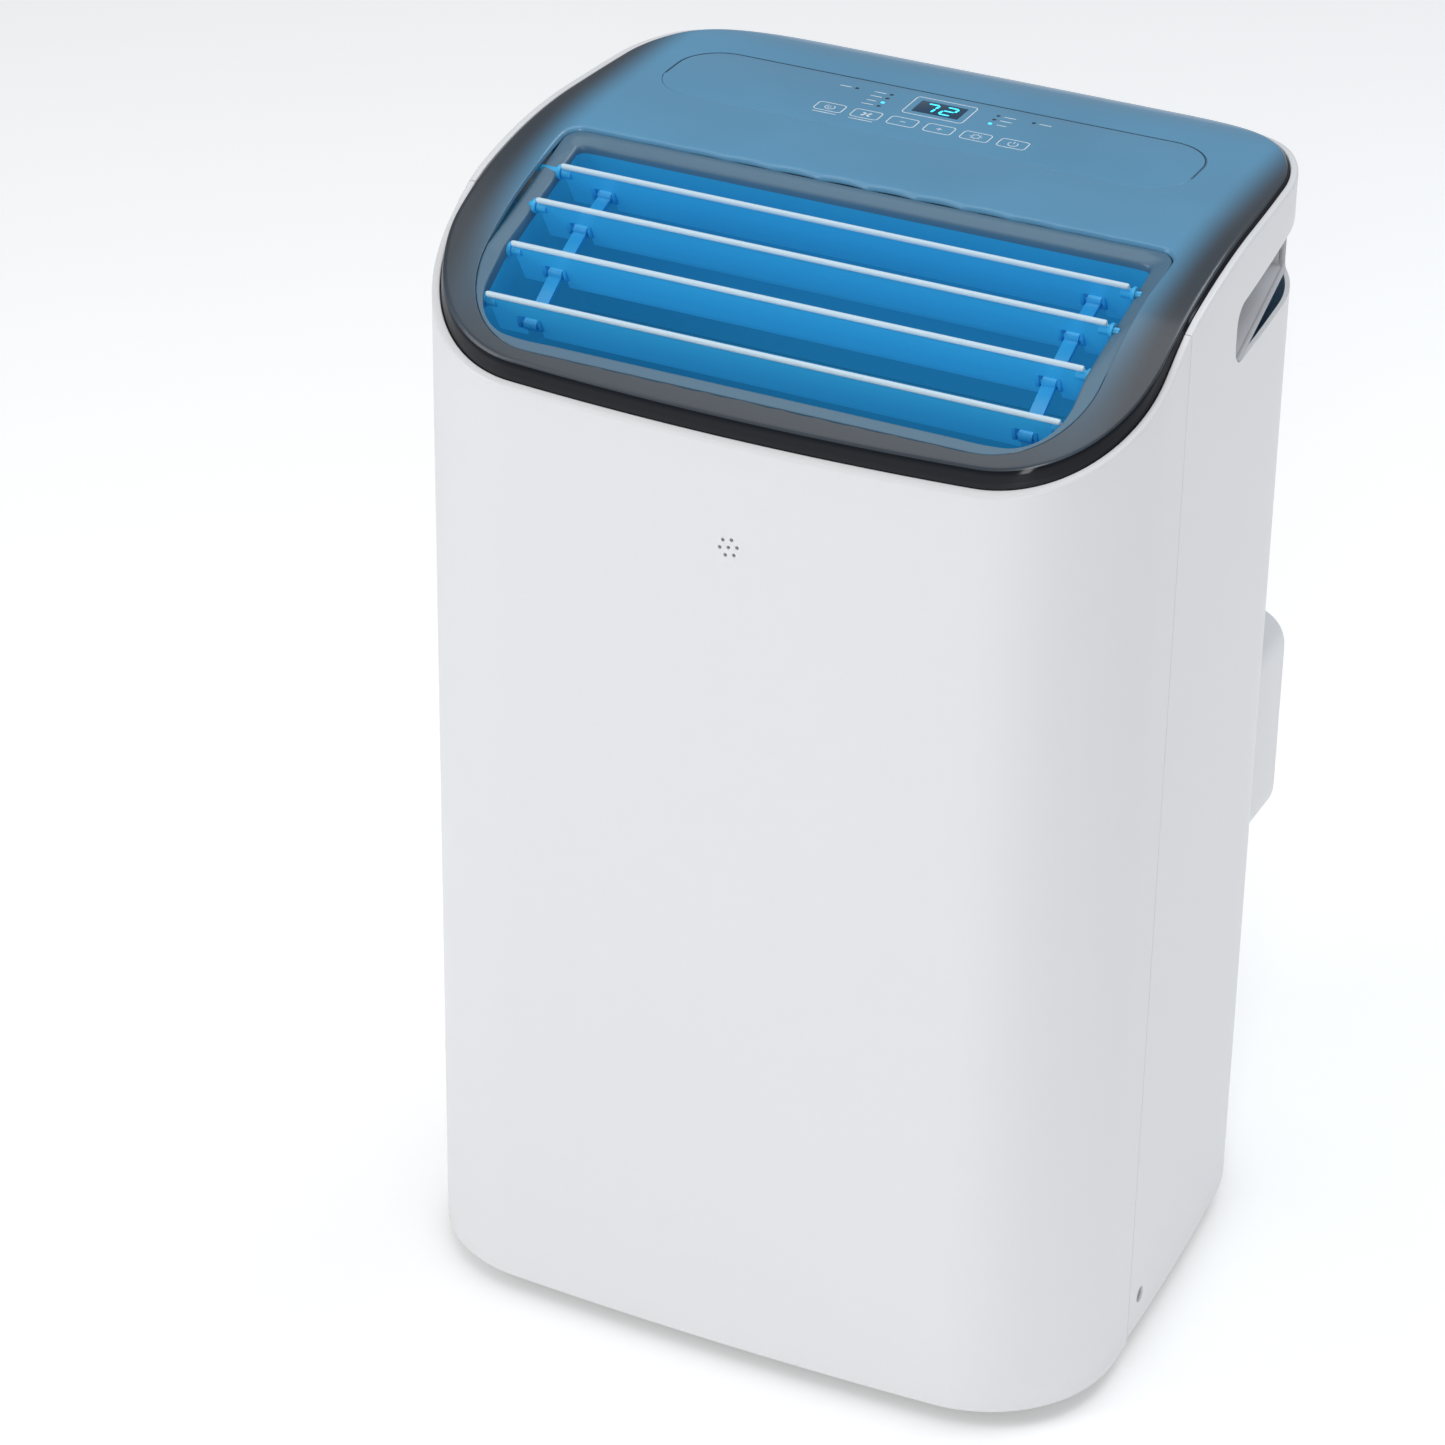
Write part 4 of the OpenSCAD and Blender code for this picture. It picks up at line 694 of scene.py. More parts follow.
class AIRCON_OT_rear_cover(bpy.types.Operator):
    bl_idname = "aircon.rear_cover"
    bl_label = "Rear cover"

    def execute(self, context):
        """Builds the rear cover and cuts its grips, grille windows, filter slots, drains, inlet and screw holes."""
        seam = heading_at(-DEPTH / 2 + sizes("cabinet").seam + 0.3)
        obj = cover("rear_shell", seam, 2 * math.pi - seam, BACK[0].z / MM,
                    ("rear_cover", "side_panel_left", "side_panel_right"))
        rear, side = DEPTH / 2, WIDTH / 2
        middle = lambda node: sum(mm_box(node)) / 2
        hole = lambda node, r: prism(circle(middle(node)[0], middle(node)[2], r), "y", rear - 30, rear + 20)
        parts = [prism(grip_outline(0.3), "x", -260, 260), prism(exhaust_frame(0.3), "y", rear - 100, rear + 20)]
        for name in ("upper", "lower"):
            low, high = mm_box(name + "_grille")
            parts.append(prism(box2(low[0] + 3, high[0] - 3, low[2] + 4, high[2] - 4), "y", rear - 60, rear + 20))
            low, high = mm_box(name + "_filter")
            parts.append(prism(box2(low[1] - 0.3, high[1] + 0.3, low[2] - 0.3, high[2] + 0.3), "x", -230, -152))
            parts.append(hole(name + "_drain_cap", 6.3))
        parts.append(hole("cord_gland", 8))
        y, z = middle("cover_screws")[1:]
        parts += [prism(circle(y, z, 5.2), "x", *ends) for ends in ((-side - 5, -side + 9), (side - 9, side + 5))]
        for part in parts:
            carve(obj, cutter([part]))
        cup = np.array([(0.0, 5.15), (-3.4, 4.7), (-3.4, 2.1), (-6.0, 2.1), (-6.0, 5.6), (-0.4, 6.0)])
        cups = [turned(cup * [s, 1], "x", (s * (side - 0.6), y, z)) for s in (-1, 1)]
        verts, faces = joined(cups)
        piece("screw_cups", verts, faces, "shell", "cabinet", slot="white_shell", recalc=False)
        return {"FINISHED"}


# ---- top

def ring_angles(*outlines, centre):
    """Angles about centre of all the given outlines' points, sorted, with near doubles dropped."""
    a = np.concatenate([np.arctan2(*(np.asarray(o) - centre).T[::-1]) for o in outlines])
    a = np.sort(a)
    keep = np.concatenate([[True], np.diff(a) > math.radians(0.12)])
    return a[keep]


def outlet_outline(grow, n=16):
    s = sizes("outlet")
    return rounded_slot(s.half + grow, s.front - grow, s.rear + grow, 30 + grow, 5 + grow, n)


def bezel_outline(inward, n=16):
    s = sizes("outlet")
    return rounded_slot(s.half + 10.5 - inward, s.front - 6.5 + inward, s.rear + 10.5 - inward, 52.5, 11, n)


class AIRCON_OT_top_frame(bpy.types.Operator):
    bl_idname = "aircon.top_frame"
    bl_label = "Top frame"

    def execute(self, context):
        """Builds the dark top: a sheet that follows the deck from the outlet's lip to a crease, and a gloss band."""
        cab = sizes("cabinet")
        centre = np.array([0.0, -80.0])
        hole = bezel_outline(0.0)
        edge = lambda t: np.column_stack(outline(t, headings(5.0)[:-1]))
        angle = ring_angles(hole, edge(6.0), centre=centre)
        inner, outers = polar(hole, centre)(angle), {}
        for t in (8.6, 7.4, 6.7, 6.3, 4.9, 7.4):
            outers[t] = polar(edge(t), centre)(angle)
        yh = centre[1] + inner * np.sin(angle)
        lip = 0.35 + 2.4 * ease((yh + 62) / 30)
        columns, heights, zone = [], [], []

        def add(radius, height, z=0):
            columns.append(radius)
            heights.append(height)
            zone.append(z)

        add(inner, lambda y: deck_at(y) - 3.0)
        for a in np.radians([0, 22.5, 45, 67.5]):
            add(inner + lip * (1 - math.cos(a)), lambda y, a=a: deck_at(y) - cab.skin - lip * (1 - math.sin(a)))
        for b in np.linspace(0, 1, 44):
            add(inner + lip + (outers[8.6] - inner - lip) * b, lambda y: deck_at(y) - cab.skin)
        for t, drop in ((7.4, 0.18), (6.7, 0.6), (6.3, 1.3)):
            add(outers[t], lambda y, d=drop: deck_at(y) - cab.skin - d, 1 if t < 6.5 else 0)
        for k in (0.33, 0.66, 1.0):
            r = outers[6.3] + (outers[4.9] - outers[6.3]) * k
            add(r, lambda y, k=k: (deck_at(y) - cab.skin - 1.3) * (1 - k) + (rim_at(y) - 0.2) * k, 1)
        add(outers[4.9], lambda y: rim_at(y) - 8.5, 1)
        add(outers[7.4], lambda y: rim_at(y) - 8.5, 1)
        for b in (1.0, 0.75, 0.5, 0.25):
            add(inner + (outers[8.6] - inner) * b, lambda y: deck_at(y) - 3.0)
        c, s = np.cos(angle), np.sin(angle)
        grid = np.stack([np.stack([centre[0] + r * c, centre[1] + r * s, h(centre[1] + r * s)], -1)
                         for r, h in zip(columns, heights)], 1)
        n, m = grid.shape[:2]
        index = np.tile([int(zone[j] and zone[(j + 1) % m]) for j in range(m)], n)
        obj = ring_piece("top_sheet", grid, ["deck", "band"], "cabinet", "top_frame", "frame_blue", index=index,
                         sharp=34)
        p = sizes("panel")
        seat = soft_box(p.middle - p.width / 2, p.middle + p.width / 2, p.front, p.rear, p.corner, 14)
        carve(obj, cutter([prism(seat, "z", DECK - 1.2, DECK + 5)]), 34)
        return {"FINISHED"}


class AIRCON_OT_bezel(bpy.types.Operator):
    bl_idname = "aircon.bezel"
    bl_label = "Bezel and duct"

    def execute(self, context):
        """Builds the ring round the outlet, which sinks towards the rear, and the duct under it."""
        centre = np.array([0.0, -95.0])
        outer, hole = bezel_outline(0.35), outlet_outline(0.0)
        angle = ring_angles(outer, hole, centre=centre)
        ro, ri = polar(outer, centre)(angle), polar(hole, centre)(angle)
        sink = lambda y: ease((y + 75) / 45)
        c, s = np.cos(angle), np.sin(angle)

        def ring(rows):
            return np.stack([np.stack([centre[0] + r * c, y := centre[1] + r * s, h(y)], -1) for r, h in rows], 1)

        rows = [(ro, lambda y: deck_at(y) - 4.6), (ro, lambda y: deck_at(y) - 0.85 - 2.0 * sink(y)),
                (ro - 0.3, lambda y: deck_at(y) - 0.5 - 2.0 * sink(y))]
        for b in np.linspace(0.06, 0.92, 9):
            rows.append((ro + (ri - ro) * b, lambda y, b=b: deck_at(y) - 0.45 - 2.0 * sink(y)
                         - (0.12 + 3.6 * sink(y)) * (1 - math.cos(b * 1.5))))
        rows += [(ri + 0.35, lambda y: deck_at(y) - 0.75 - 5.6 * sink(y)),
                 (ri, lambda y: deck_at(y) - 1.3 - 5.8 * sink(y)),
                 (ri, lambda y: deck_at(y) - 9.5), (ri + 1.8, lambda y: deck_at(y) - 9.5)]
        ring_piece("outlet_ring", ring(rows), "bezel", "cabinet", "outlet_bezel", "bezel_blue", sharp=36)
        foot = mm_box("outlet_duct")[0][2]
        rows = [(ri + 0.2, lambda y, d=d: np.maximum(deck_at(y) - d, foot)) for d in np.linspace(9.6, 30, 6)]
        rows += [(ri + 0.2, lambda y, k=k: (deck_at(y) - 30) * (1 - k) + foot * k) for k in (0.25, 0.5, 0.75, 1.0)]
        rows += [(ri + 2.4, lambda y: foot + 0 * y), (ri + 2.4, lambda y: deck_at(y) - 9.8)]
        duct = ring_piece("duct_wall", ring(rows), "duct", "cabinet", "outlet_duct", "duct_plastic", sharp=36)
        for i in range(4):
            y, z = pivot(i)
            carve(duct, cutter([prism(circle(y, z, 2.35, 24), "x", -190, 190)]), 36)
        collar = np.array([(0, 2.4), (-1.3, 2.5), (-1.6, 3.0), (-1.6, 3.9), (-1.2, 4.3), (0.6, 4.4), (0.6, 2.4)])
        x = sizes("outlet").half - 0.3
        verts, faces = joined([turned(collar * [side, 1], "x", (side * x, *pivot(i)), 28)
                               for i in range(4) for side in (-1, 1)])
        piece("pivot_collars", verts, faces, "link", "cabinet", slot="duct_plastic", sharp=40)
        return {"FINISHED"}


# ---- louvres

def edge_line(i):
    """Depth and height of blade i's outer edge, which follows the deck."""
    y = sizes("outlet").rear - 27.4 - 30.0 * i
    return y, float(deck_at(y)) - 1.7


def pivot(i):
    y, z = edge_line(i)
    lean = sizes("outlet").lean
    return y + 6.0 * math.sin(lean), z - 6.0 * math.cos(lean)


def lean_points(points, i):
    """Points drawn on an upright blade, turned about its edge by the lean and moved to blade i's place."""
    a, (y, z) = sizes("outlet").lean, edge_line(i)
    p = np.asarray(points, float).reshape(-1, 3)
    return np.column_stack([p[:, 0], y + p[:, 1] * math.cos(a) - p[:, 2] * math.sin(a),
                            z + p[:, 1] * math.sin(a) + p[:, 2] * math.cos(a)])


def blade_section(n=9):
    """Closed cross-section of a blade: round bead at the outer edge, then a tapered plate with a round lower edge."""
    s = sizes("outlet")
    a = np.radians(np.linspace(-40, 220, 2 * n))
    bead = np.column_stack([1.7 * np.cos(a), 1.7 * np.sin(a)])
    down = np.linspace(0.1, 0.98, 10)
    left = np.column_stack([-(1.0 - 0.25 * down), -s.chord * down])
    b = np.radians(np.linspace(200, 340, 6))
    foot = np.column_stack([0.75 * np.cos(b), -s.chord + 0.75 + 0.75 * np.sin(b)])
    right = np.column_stack([(1.0 - 0.25 * down[::-1]), -s.chord * down[::-1]])
    return np.vstack([bead, left, foot, right]), 2 * n


class AIRCON_OT_louvres(bpy.types.Operator):
    bl_idname = "aircon.louvres"
    bl_label = "Louvre blades"

    def execute(self, context):
        """Builds each blade with its pale bead, link notches, fork ears, link pins and pivot pins."""
        s = sizes("outlet")
        section, bead = blade_section()
        half = mm_box("louvre_2")[1][0] - 6.5
        x = np.concatenate([[-half, -half + 0.3, -half + 1.0], np.linspace(-half + 6, half - 6, 40),
                            [half - 1.0, half - 0.3, half]])
        trim = np.interp(np.abs(x), [0, half - 1, half - 0.3, half], [1, 1, 0.86, 0.6])
        wide = np.ptp(mm_box("link_right"), axis=0)[0] / 2 + 1.5
        for i in range(4):
            name = body = "louvre_%d" % (i + 1)
            m = len(section)
            flat = np.stack([np.broadcast_to(x[:, None], (len(x), m)), section[None, :, 0] * trim[:, None],
                             np.broadcast_to(section[None, :, 1], (len(x), m)) * (1 - (1 - trim[:, None]) * 0.02)], -1)
            faces = tube_faces(len(x), m)
            index = [1 if (k % m) < bead - 1 else 0 for k in range(len(faces) - 2)] + [1, 1]
            blade = piece("blade_%d" % (i + 1), lean_points(flat.reshape(-1, 3), i), faces, ["blade", "bead"], body,
                          name, "louvre_plastic", index=index, sharp=50)
            cuts = [prism(soft_box(side * s.links - wide, side * s.links + wide, -s.chord - 8, -14, 1.2), "y", -6, 6)
                    for side in (-1, 1)]
            carve(blade, cutter([(lean_points(v, i), f) for v, f in cuts]), 50)
            bits = []
            for side in (-1, 1):
                for e in (-1, 1):
                    x0 = side * s.links + e * (wide + 1.0)
                    ear = np.array([[3.2, -21.0], [2.9, -22.4], [2.2, -23.4], [1.2, -24.0], [0, -24.2], [-1.2, -24.0],
                                    [-2.2, -23.4], [-2.9, -22.4], [-3.2, -21.0], [-2.4, -17.0], [-1.1, -14.0],
                                    [1.1, -14.0], [2.4, -17.0]])[::-1]
                    bits.append(slab(ear, "x", x0 - 1.0, x0 + 1.0, 0.3))
                pin = [(-wide - 0.8, 0.01), (-wide - 0.8, 1.5), (wide + 0.8, 1.5), (wide + 0.8, 0.01)]
                bits.append(turned(pin, "x", (side * s.links, 0, -21.0), 24))
                reach = -mm_box("louvre_1")[0][0] if (i == 0 and side < 0) else mm_box("louvre_2")[1][0]
                stub = np.array([(half - 5, 0.01), (half - 5, 3.0), (half + 0.9, 3.0), (half + 1.3, 2.6),
                                 (half + 1.3, 2.2), (reach - 0.5, 2.2), (reach, 1.8), (reach, 0.01)]) * [side, 1]
                bits.append(turned(stub, "x", (0, 0, -6.0), 28))
            verts, faces = joined([(lean_points(v, i), f) for v, f in bits])
            piece("blade_fittings_%d" % (i + 1), verts, faces, "link", body, slot="louvre_plastic", sharp=40)
        return {"FINISHED"}


# ---- control field

def band(points, width, closed=True):
    """Flat ribbon of the given width along a line of points."""
    p = np.asarray(points, float)
    ahead, behind = (np.roll(p, -1, 0), np.roll(p, 1, 0)) if closed else (
        np.vstack([p[1:], p[-1:]]), np.vstack([p[:1], p[:-1]]))
    d = ahead - behind
    n = np.column_stack([-d[:, 1], d[:, 0]]) / np.maximum(np.hypot(*d.T), 1e-9)[:, None] * width / 2
    both = np.stack([p - n, p + n], 1).reshape(-1, 2)
    return both, grid_faces(len(p), 2, wrap_rows=closed)


def stroke(cx, cy, length, width, turn=0.0):
    a = math.radians(turn)
    d = np.array([math.cos(a), math.sin(a)]) * length / 2
    return band(np.array([[cx, cy] - d, [cx, cy] + d]), width, False)


def arc_line(cx, cy, r, start, end, n=16):
    t = np.radians(np.linspace(start, end, n))
    return np.column_stack([cx + r * np.cos(t), cy + r * np.sin(t)])


def flat_piece(name, marks, z, material, slot, thick=0.05):
    """Thin flat layer, for print, lit marks or painted shade: flat marks joined at height z and given a little
    thickness.
    """
    parts = [(np.column_stack([np.asarray(p, float), np.full(len(p), z)]), f) for p, f in marks]
    verts, faces = joined(parts)
    obj = piece(name, verts, faces, material, "cabinet", slot=slot, recalc=False)
    for polygon in obj.data.polygons:
        if polygon.normal.z < 0:
            polygon.flip()
    layer = obj.modifiers.new("thickness", "SOLIDIFY")
    layer.thickness, layer.offset = thick * MM, -1.0
    return obj


def digit_marks(number, cx, cy, wide, tall, bar, slant):
    """Seven-segment figure: each lit segment is a bar with pointed ends, sheared by slant."""
    lit = {0: "abcdef", 1: "bc", 2: "abged", 3: "abgcd", 4: "fgbc", 5: "afgcd", 6: "afgedc", 7: "abc", 8: "abcdefg",
           9: "abfgcd"}[number]
    places = {"a": (0, tall / 2, 0), "g": (0, 0, 0), "d": (0, -tall / 2, 0), "b": (wide / 2, tall / 4, 90),
              "c": (wide / 2, -tall / 4, 90), "f": (-wide / 2, tall / 4, 90), "e": (-wide / 2, -tall / 4, 90)}
    marks = []
    for key in lit:
        x, y, turn = places[key]
        length = (wide if turn == 0 else tall / 2) - 0.5
        h, b = length / 2, bar / 2
        p = np.array([[-h, 0], [-h + b, -b], [h - b, -b], [h, 0], [h - b, b], [-h + b, b]])
        if turn:
            p = p[:, ::-1] * [-1, 1]
        p = p + [x, y]
        p[:, 0] += p[:, 1] * slant
        marks.append((p + [cx, cy], [tuple(range(6))]))
    return marks


KEYS_Y = 71.3
LAMPS = [(-61.6, 103.8, 0), (-39.7, 104.2, 0), (-39.7, 98.1, 0), (-39.7, 91.5, 1), (-39.7, 85.8, 0), (27.4, 104.7, 0),
         (27.4, 98.7, 0), (27.4, 92.4, 1), (49.5, 104.7, 0)]


def key_marks():
    """Outlines and symbols of the six touch keys: swing, fan, less, more, mode and power."""
    marks, xs = [], [-63.8, -40.8, -17.9, 5.0, 27.9, 50.9]
    for x in xs:
        marks.append(band(soft_box(x - 8.6, x + 8.6, KEYS_Y - 5.6, KEYS_Y + 5.6, 2.2, 6), 0.6))
    x = xs[0]
    marks.append(band(arc_line(x, KEYS_Y, 3.0, 120, 420, 18), 0.5, False))
    marks.append(band(arc_line(x, KEYS_Y, 1.4, 60, 330, 12), 0.4, False))
    x = xs[1]
    for k in range(4):
        t = np.radians(45 + 90 * k)
        c, s = math.cos(t), math.sin(t)
        leaf = np.array([[0.3, 0], [1.6, -0.9], [3.4, -1.0], [3.9, 0.1], [3.2, 0.9], [1.4, 0.5]])
        marks.append((leaf @ np.array([[c, s], [-s, c]]) * [1, 0.85] + [x, KEYS_Y], [tuple(range(6))]))
    marks.append(stroke(xs[2], KEYS_Y, 3.6, 0.6))
    marks.append(stroke(xs[3], KEYS_Y, 3.6, 0.6))
    marks += [stroke(xs[3], KEYS_Y + up, 1.5, 0.6, 90) for up in (1.05, -1.05)]
    x = xs[4]
    marks.append(band(circle(x, KEYS_Y, 2.4, 28), 0.5))
    for k in range(8):
        t = math.radians(45 * k)
        marks.append(stroke(x + 3.5 * math.cos(t), KEYS_Y + 3.5 * math.sin(t), 0.9, 0.5, 45 * k))
    x = xs[5]
    marks.append(band(arc_line(x, KEYS_Y - 0.2, 2.9, 125, 415, 22), 0.55, False))
    marks.append(stroke(x, KEYS_Y + 2.0, 3.2, 0.55, 90))
    return marks


class AIRCON_OT_controls(bpy.types.Operator):
    bl_idname = "aircon.controls"
    bl_label = "Control field"

    def execute(self, context):
        """Builds the inlay film, the display and its reading, the printed keys, the lamps and painted shade in the
        groove.
        """
        p, top = sizes("panel"), DECK - sizes("cabinet").skin
        film = soft_box(p.middle - p.width / 2 + 0.3, p.middle + p.width / 2 - 0.3, p.front + 0.3, p.rear - 0.3,
                        p.corner - 0.3, 14)
        verts, faces = slab(film, "z", DECK - 1.1, top, 0.25)
        obj = piece("inlay_film", verts, faces, "inlay", "cabinet", "control_inlay", "inlay_gloss")
        (x0, y0, _), (x1, y1, _) = mm_box("display_window")
        carve(obj, cutter([prism(soft_box(x0 - 0.1, x1 + 0.1, y0 - 0.1, y1 + 0.1, 0.8), "z", DECK - 3, DECK + 3)]))
        verts, faces = slab(soft_box(x0, x1, y0, y1, 0.8), "z", DECK - 2.9, top - 0.03, 0.2)
        piece("display_glass", verts, faces, "glass", "cabinet", "display_window", "display_black")
        xm, ym = (x0 + x1) / 2, (y0 + y1) / 2
        figures = (digit_marks(p.reading // 10, xm - 6.4, ym, 7.2, 11.0, 1.5, 0.12)
                   + digit_marks(p.reading % 10, xm + 5.6, ym, 7.2, 11.0, 1.5, 0.12))
        flat_piece("display_figures", figures, top + 0.02, "glow", "display_black", 0.03)
        ink = key_marks()
        ink.append(band(soft_box(x0 - 4.5, x1 + 4.5, y0 - 4.2, y1 + 4.2, 2.4, 6), 0.6))
        for x, y, lit in LAMPS:
            ends = -1 if x < 0 else 1
            ink.append(stroke(x + ends * 7.2, y, 7.5 if lit == 0 else 6.0, 0.7))
        for x in (-63.8, -40.8):
            ink.append(stroke(x, KEYS_Y - 8.6, 15.0, 0.7))
        flat_piece("printed_marks", ink, top + 0.04, "ink", "inlay_gloss")
        # Painted shade: a thin dark band in the unlit-lamp finish, laid along the inlay's edge except at the front,
        # stands in for the shade in the groove between the film and its seat.
        rim = soft_box(p.middle - p.width / 2 + 0.95, p.middle + p.width / 2 - 0.95, p.front + 0.95, p.rear - 0.95,
                       p.corner - 0.95, 14)
        kept = rim[:, 1] > p.front + 22
        first = np.flatnonzero(kept & ~np.roll(kept, 1))[0]
        flat_piece("inlay_outline", [band(np.roll(rim, -first, 0)[:kept.sum()], 0.7, False)], top + 0.03, "dot",
                   "inlay_gloss")
        dots = lambda want: [(circle(x, y, 1.25, 18), [tuple(range(18))]) for x, y, lit in LAMPS if lit == want]
        flat_piece("lamps_dark", dots(0), top + 0.04, "dot", "inlay_gloss")
        flat_piece("lamps_lit", dots(1), top + 0.04, "glow", "inlay_gloss")
        return {"FINISHED"}


# ---- sides and rear

class AIRCON_OT_grips(bpy.types.Operator):
    bl_idname = "aircon.grips"
    bl_label = "Grip pockets"

    def execute(self, context):
        """Builds both grip pockets: the mouth's outline sinks inwards with a rounded throat to a flat back."""
        base = grip_outline(0.0, 12)
        depth = 26.0
        rows = [(0.2, 0.35), (0.5, 0.5), (1.6, 0.55), (5.0, 0.8), (10.0, 1.1), (16.0, 1.4), (21.0, 1.8), (24.0, 2.3),
                (25.4, 2.9), (depth, 3.6)]
        for side, name in ((-1, "left"), (1, "right")):
            rings = []
            for inset, inward in [(3.5, 0.0)] + rows:
                q = shrink(base, inward)
                rings.append(np.column_stack([side_x(q[:, 0], 0) - inset - (0.15 if inset < 3 else 0), q]))
            middle = base.mean(0)
            for k in (0.9, 0.6, 0.3, 0.02):
                q = middle + (shrink(base, 3.6) - middle) * k
                rings.append(np.column_stack([side_x(q[:, 0], 0) - depth, q]))
            grid = np.stack(rings, 0)
            grid[:, :, 0] *= side
            faces = grid_faces(len(rings), grid.shape[1], wrap_columns=True)
            if side > 0:
                faces = faces[:, ::-1]
            obj = piece("grip_pocket_" + name, grid.reshape(-1, 3), faces, "grip", "cabinet", "grip_" + name,
                        "grey_liner", sharp=50, recalc=False)
            wall = obj.modifiers.new("wall", "SOLIDIFY")
            wall.thickness, wall.offset = 1.0 * MM, -1.0
        return {"FINISHED"}


PORT_R = 62.0


class AIRCON_OT_exhaust(bpy.types.Operator):
    bl_idname = "aircon.exhaust"
    bl_label = "Exhaust housing"

    def execute(self, context):
        """Builds the hose housing: soft-edged box whose rear face narrows to a stepped round port."""
        (x0, y0, z0), (x1, y1, z1) = mm_box("exhaust_housing")
        cx, cz = (x0 + x1) / 2, (z0 + z1) / 2
        frame_line = exhaust_frame(0.0, 16)
        radius = polar(frame_line, np.array([cx, cz]))
        angle = ring_angles(frame_line, circle(cx, cz, 60, 72), centre=np.array([cx, cz]))
        r0, rows = radius(angle), []
        edge, port = 5, np.full_like(r0, PORT_R)
        rows += [(r0, y) for y in np.linspace(y0, y1 - edge, 8)]
        rows += [(r0 - edge * (1 - math.cos(a)), y1 - edge + edge * math.sin(a))
                 for a in np.radians([18, 36, 54, 72, 90])]
        rows += [(r0 - edge + (port + 3.2 - r0 + edge) * k, y1) for k in (0.35, 0.7)]
        rows += [(port + 3.2, y1), (port + 2.8, y1 - 0.7), (port + 1.2, y1 - 0.7), (port + 0.6, y1 - 0.5),
                 (port, y1 - 1.2), (port, y1 - 12), (port + 2.0, y1 - 12), (r0 - 2.4, y1 - 12), (r0 - 2.4, y0)]
        grid = np.stack([np.stack([cx + r * np.cos(angle), np.full_like(r, y), cz + r * np.sin(angle)], -1)
                         for r, y in rows], 1)
        ring_piece("hose_housing", grid, "shell", "cabinet", "exhaust_housing", "white_shell", sharp=34)
        return {"FINISHED"}


# The fan housing takes the duct finish, and with it the duct's painted glow.
CAD_FINISHES = {
    "louvre_motor": "cream", "control_board": "board", "upper_grille": "shell", "lower_grille": "shell",
    "upper_filter": "mesh", "lower_filter": "mesh", "base_pan": "dark", "compressor": "paint",
    "compressor_feet": "rubber", "accumulator": "paint", "condenser_coil": "fins", "evaporator_coil": "fins",
    "refrigerant_pipes": "copper", "middle_deck": "pale", "fan_housing": "duct", "cross_flow_wheel": "fan",
    "evaporator_motor": "steel", "exhaust_scroll": "dark", "exhaust_wheel": "fan", "exhaust_motor": "steel",
    "electrical_box": "cream", "capacitor": "can", "upper_drain_cap": "rubber", "lower_drain_cap": "rubber",
    "cord_gland": "black", "splash_wheel": "cream", "splash_motor": "cream", "float_ring": "cream",
    "sensor_board": "black", "cover_screws": "screw", "link_left": "link", "link_right": "link",
}
CAD_FINISHES.update({"caster_%d" % i: "black" for i in range(1, 5)})
CAD_FINISHES.update({"caster_wheel_%d" % i: "tyre" for i in range(1, 5)})


class AIRCON_OT_finishes(bpy.types.Operator):
    bl_idname = "aircon.finishes"
    bl_label = "Finishes of the working parts"

    def execute(self, context):
        """Gives every piece that keeps its engineering shape the finish of its own material."""
        for node, name in CAD_FINISHES.items():
            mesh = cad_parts[node].data
            mesh.materials.clear()
            mesh.materials.append(finish(name))
        return {"FINISHED"}


# ---- studio

def lamp(name, place, aim, size, power, tint=(1, 1, 1)):
    """Rectangular soft light at place, turned to aim."""
    light = bpy.data.lights.new(name, "AREA")
    light.shape, light.size, light.size_y = "RECTANGLE", size[0], size[1]
    light.energy, light.color = power, tint
    obj = bpy.data.objects.new(name, light)
    bpy.context.scene.collection.objects.link(obj)
    obj.location = place
    obj.rotation_euler = (Vector(aim) - Vector(place)).to_track_quat("-Z", "Y").to_euler()
    return obj


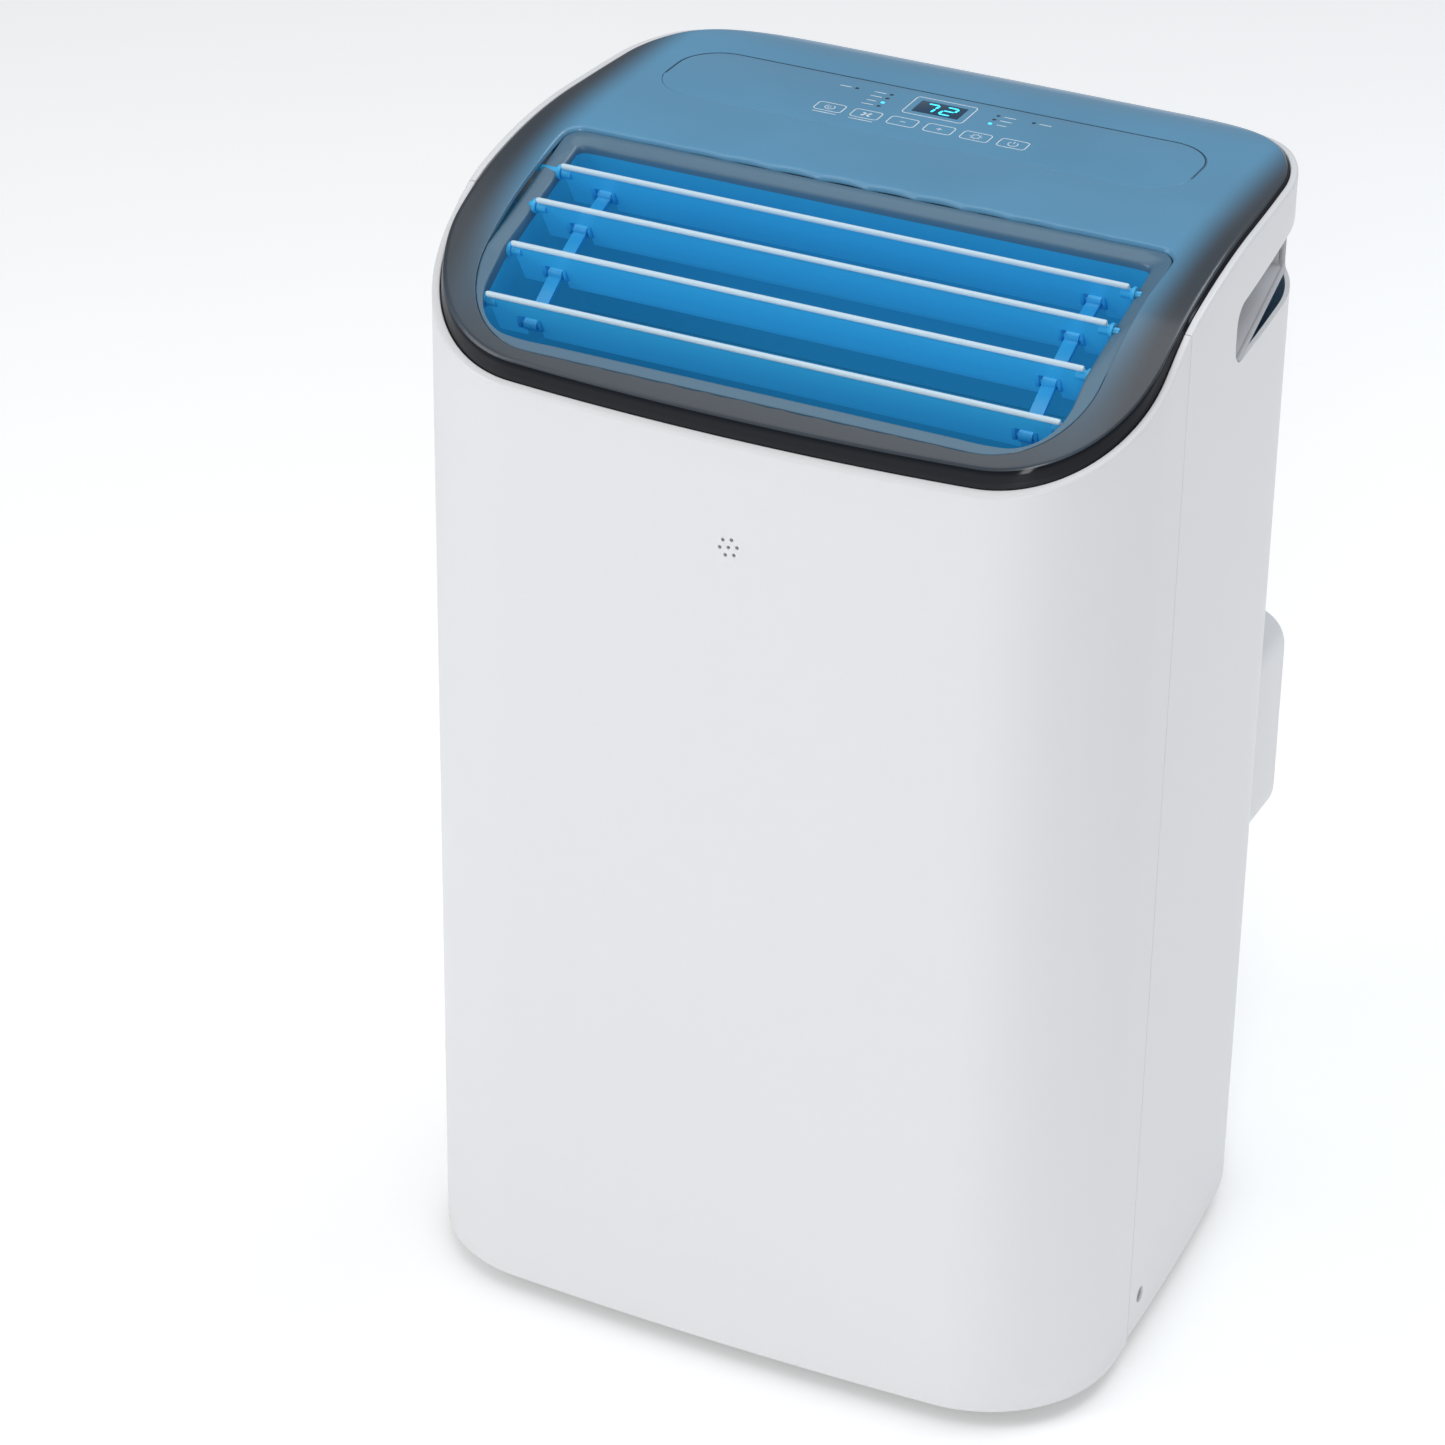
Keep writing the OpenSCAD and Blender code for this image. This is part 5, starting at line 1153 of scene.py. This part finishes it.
class AIRCON_OT_studio(bpy.types.Operator):
    bl_idname = "aircon.studio"
    bl_label = "Studio"

    def execute(self, context):
        """Lays a plain pale floor, hangs soft lights and sets the camera."""
        scene = context.scene
        f = Finish("studio floor", Roughness=0.7, Emission_Color=(1.0, 1.0, 1.0), Emission_Strength=0.33)
        slow = f.noise(3.0, 2.0)
        f.set(Base_Color=f.blend(slow, (0.92, 0.92, 0.925), (0.94, 0.94, 0.945)))
        n = 25
        u = np.linspace(-9, 9, n)
        x, y = np.meshgrid(u, u, indexing="ij")
        mesh = bpy.data.meshes.new("studio_floor")
        mesh.from_pydata(np.stack([x, y, np.zeros_like(x)], -1).reshape(-1, 3), [],
                         [tuple(map(int, q)) for q in grid_faces(n, n)])
        mesh.materials.append(f.material)
        floor = bpy.data.objects.new("studio_floor", mesh)
        scene.collection.objects.link(floor)
        world = bpy.data.worlds.new("studio")
        world.use_nodes = True
        world.node_tree.nodes["Background"].inputs["Color"].default_value = (0.93, 0.96, 1.0, 1)
        world.node_tree.nodes["Background"].inputs["Strength"].default_value = 0.24
        scene.world = world
        lamp("key_left", (-2.3, -1.9, 1.9), (0, 0, 0.35), (1.4, 2.4), 27)
        lamp("front_strip", (1.1, -2.9, 1.3), (0, 0, 0.4), (0.4, 2.2), 21)
        lamp("fill_right", (2.6, 1.4, 1.2), (0, 0, 0.4), (0.8, 1.6), 3)
        lamp("overhead", (0, -0.2, 3.3), (0, 0, 0), (3.0, 3.0), 36)
        lamp("top_rear", (0.9, 1.5, 3.0), (0, 0, 0.5), (2.0, 1.0), 24, (0.86, 0.94, 1.0))
        data = bpy.data.cameras.new("camera")
        data.sensor_width, data.lens = 36.0, 125.46
        camera = bpy.data.objects.new("camera", data)
        yaw, pitch, roll = (math.radians(v) for v in (25.82, 29.93, 0.82))
        back = np.array([math.sin(yaw) * math.cos(pitch), -math.cos(yaw) * math.cos(pitch), math.sin(pitch)])
        right = np.array([math.cos(yaw), math.sin(yaw), 0.0])
        up = np.cross(back, right)
        right, up = right * math.cos(roll) + up * math.sin(roll), -right * math.sin(roll) + up * math.cos(roll)
        turn = Matrix([[right[k], up[k], back[k]] for k in range(3)]).to_4x4()
        place = (1.0566, -2.3748 + MIDDLE, 1.8276 + LOW * MM)
        camera.matrix_world = Matrix.Translation(place) @ turn
        data.clip_start, data.clip_end = 0.05, 60
        scene.collection.objects.link(camera)
        scene.camera = camera
        scene.view_settings.view_transform = "Standard"
        scene.view_settings.look = "None"
        return {"FINISHED"}


# ---- panel and registration

STEPS = (AIRCON_OT_front_cover, AIRCON_OT_rear_cover, AIRCON_OT_top_frame, AIRCON_OT_bezel, AIRCON_OT_louvres,
         AIRCON_OT_controls, AIRCON_OT_grips, AIRCON_OT_exhaust, AIRCON_OT_finishes, AIRCON_OT_studio)


class AIRCON_PT_sidebar(bpy.types.Panel):
    bl_idname = "AIRCON_PT_sidebar"
    bl_label = "Portable Air Conditioner"
    bl_space_type = "VIEW_3D"
    bl_region_type = "UI"
    bl_category = "Appliance"

    def draw(self, context):
        for name, group in GROUPS.items():
            box = self.layout.box()
            box.label(text=name.capitalize())
            for key in group.__annotations__:
                box.prop(sizes(name), key)
        for step in STEPS:
            self.layout.operator(step.bl_idname)


def register():
    for group in GROUPS.values():
        bpy.utils.register_class(group)
    for name, group in GROUPS.items():
        setattr(bpy.types.Scene, "aircon_" + name, PointerProperty(type=group))
    for step in STEPS + (AIRCON_PT_sidebar,):
        bpy.utils.register_class(step)


def unregister():
    for step in (AIRCON_PT_sidebar,) + STEPS[::-1]:
        bpy.utils.unregister_class(step)
    for name, group in GROUPS.items():
        delattr(bpy.types.Scene, "aircon_" + name)
        bpy.utils.unregister_class(group)


def main():
    register()
    for step in STEPS:
        group, name = step.bl_idname.split(".")
        if getattr(getattr(bpy.ops, group), name)() != {"FINISHED"}:
            raise RuntimeError(step.bl_label + " did not finish")


if __name__ == "__main__":
    main()
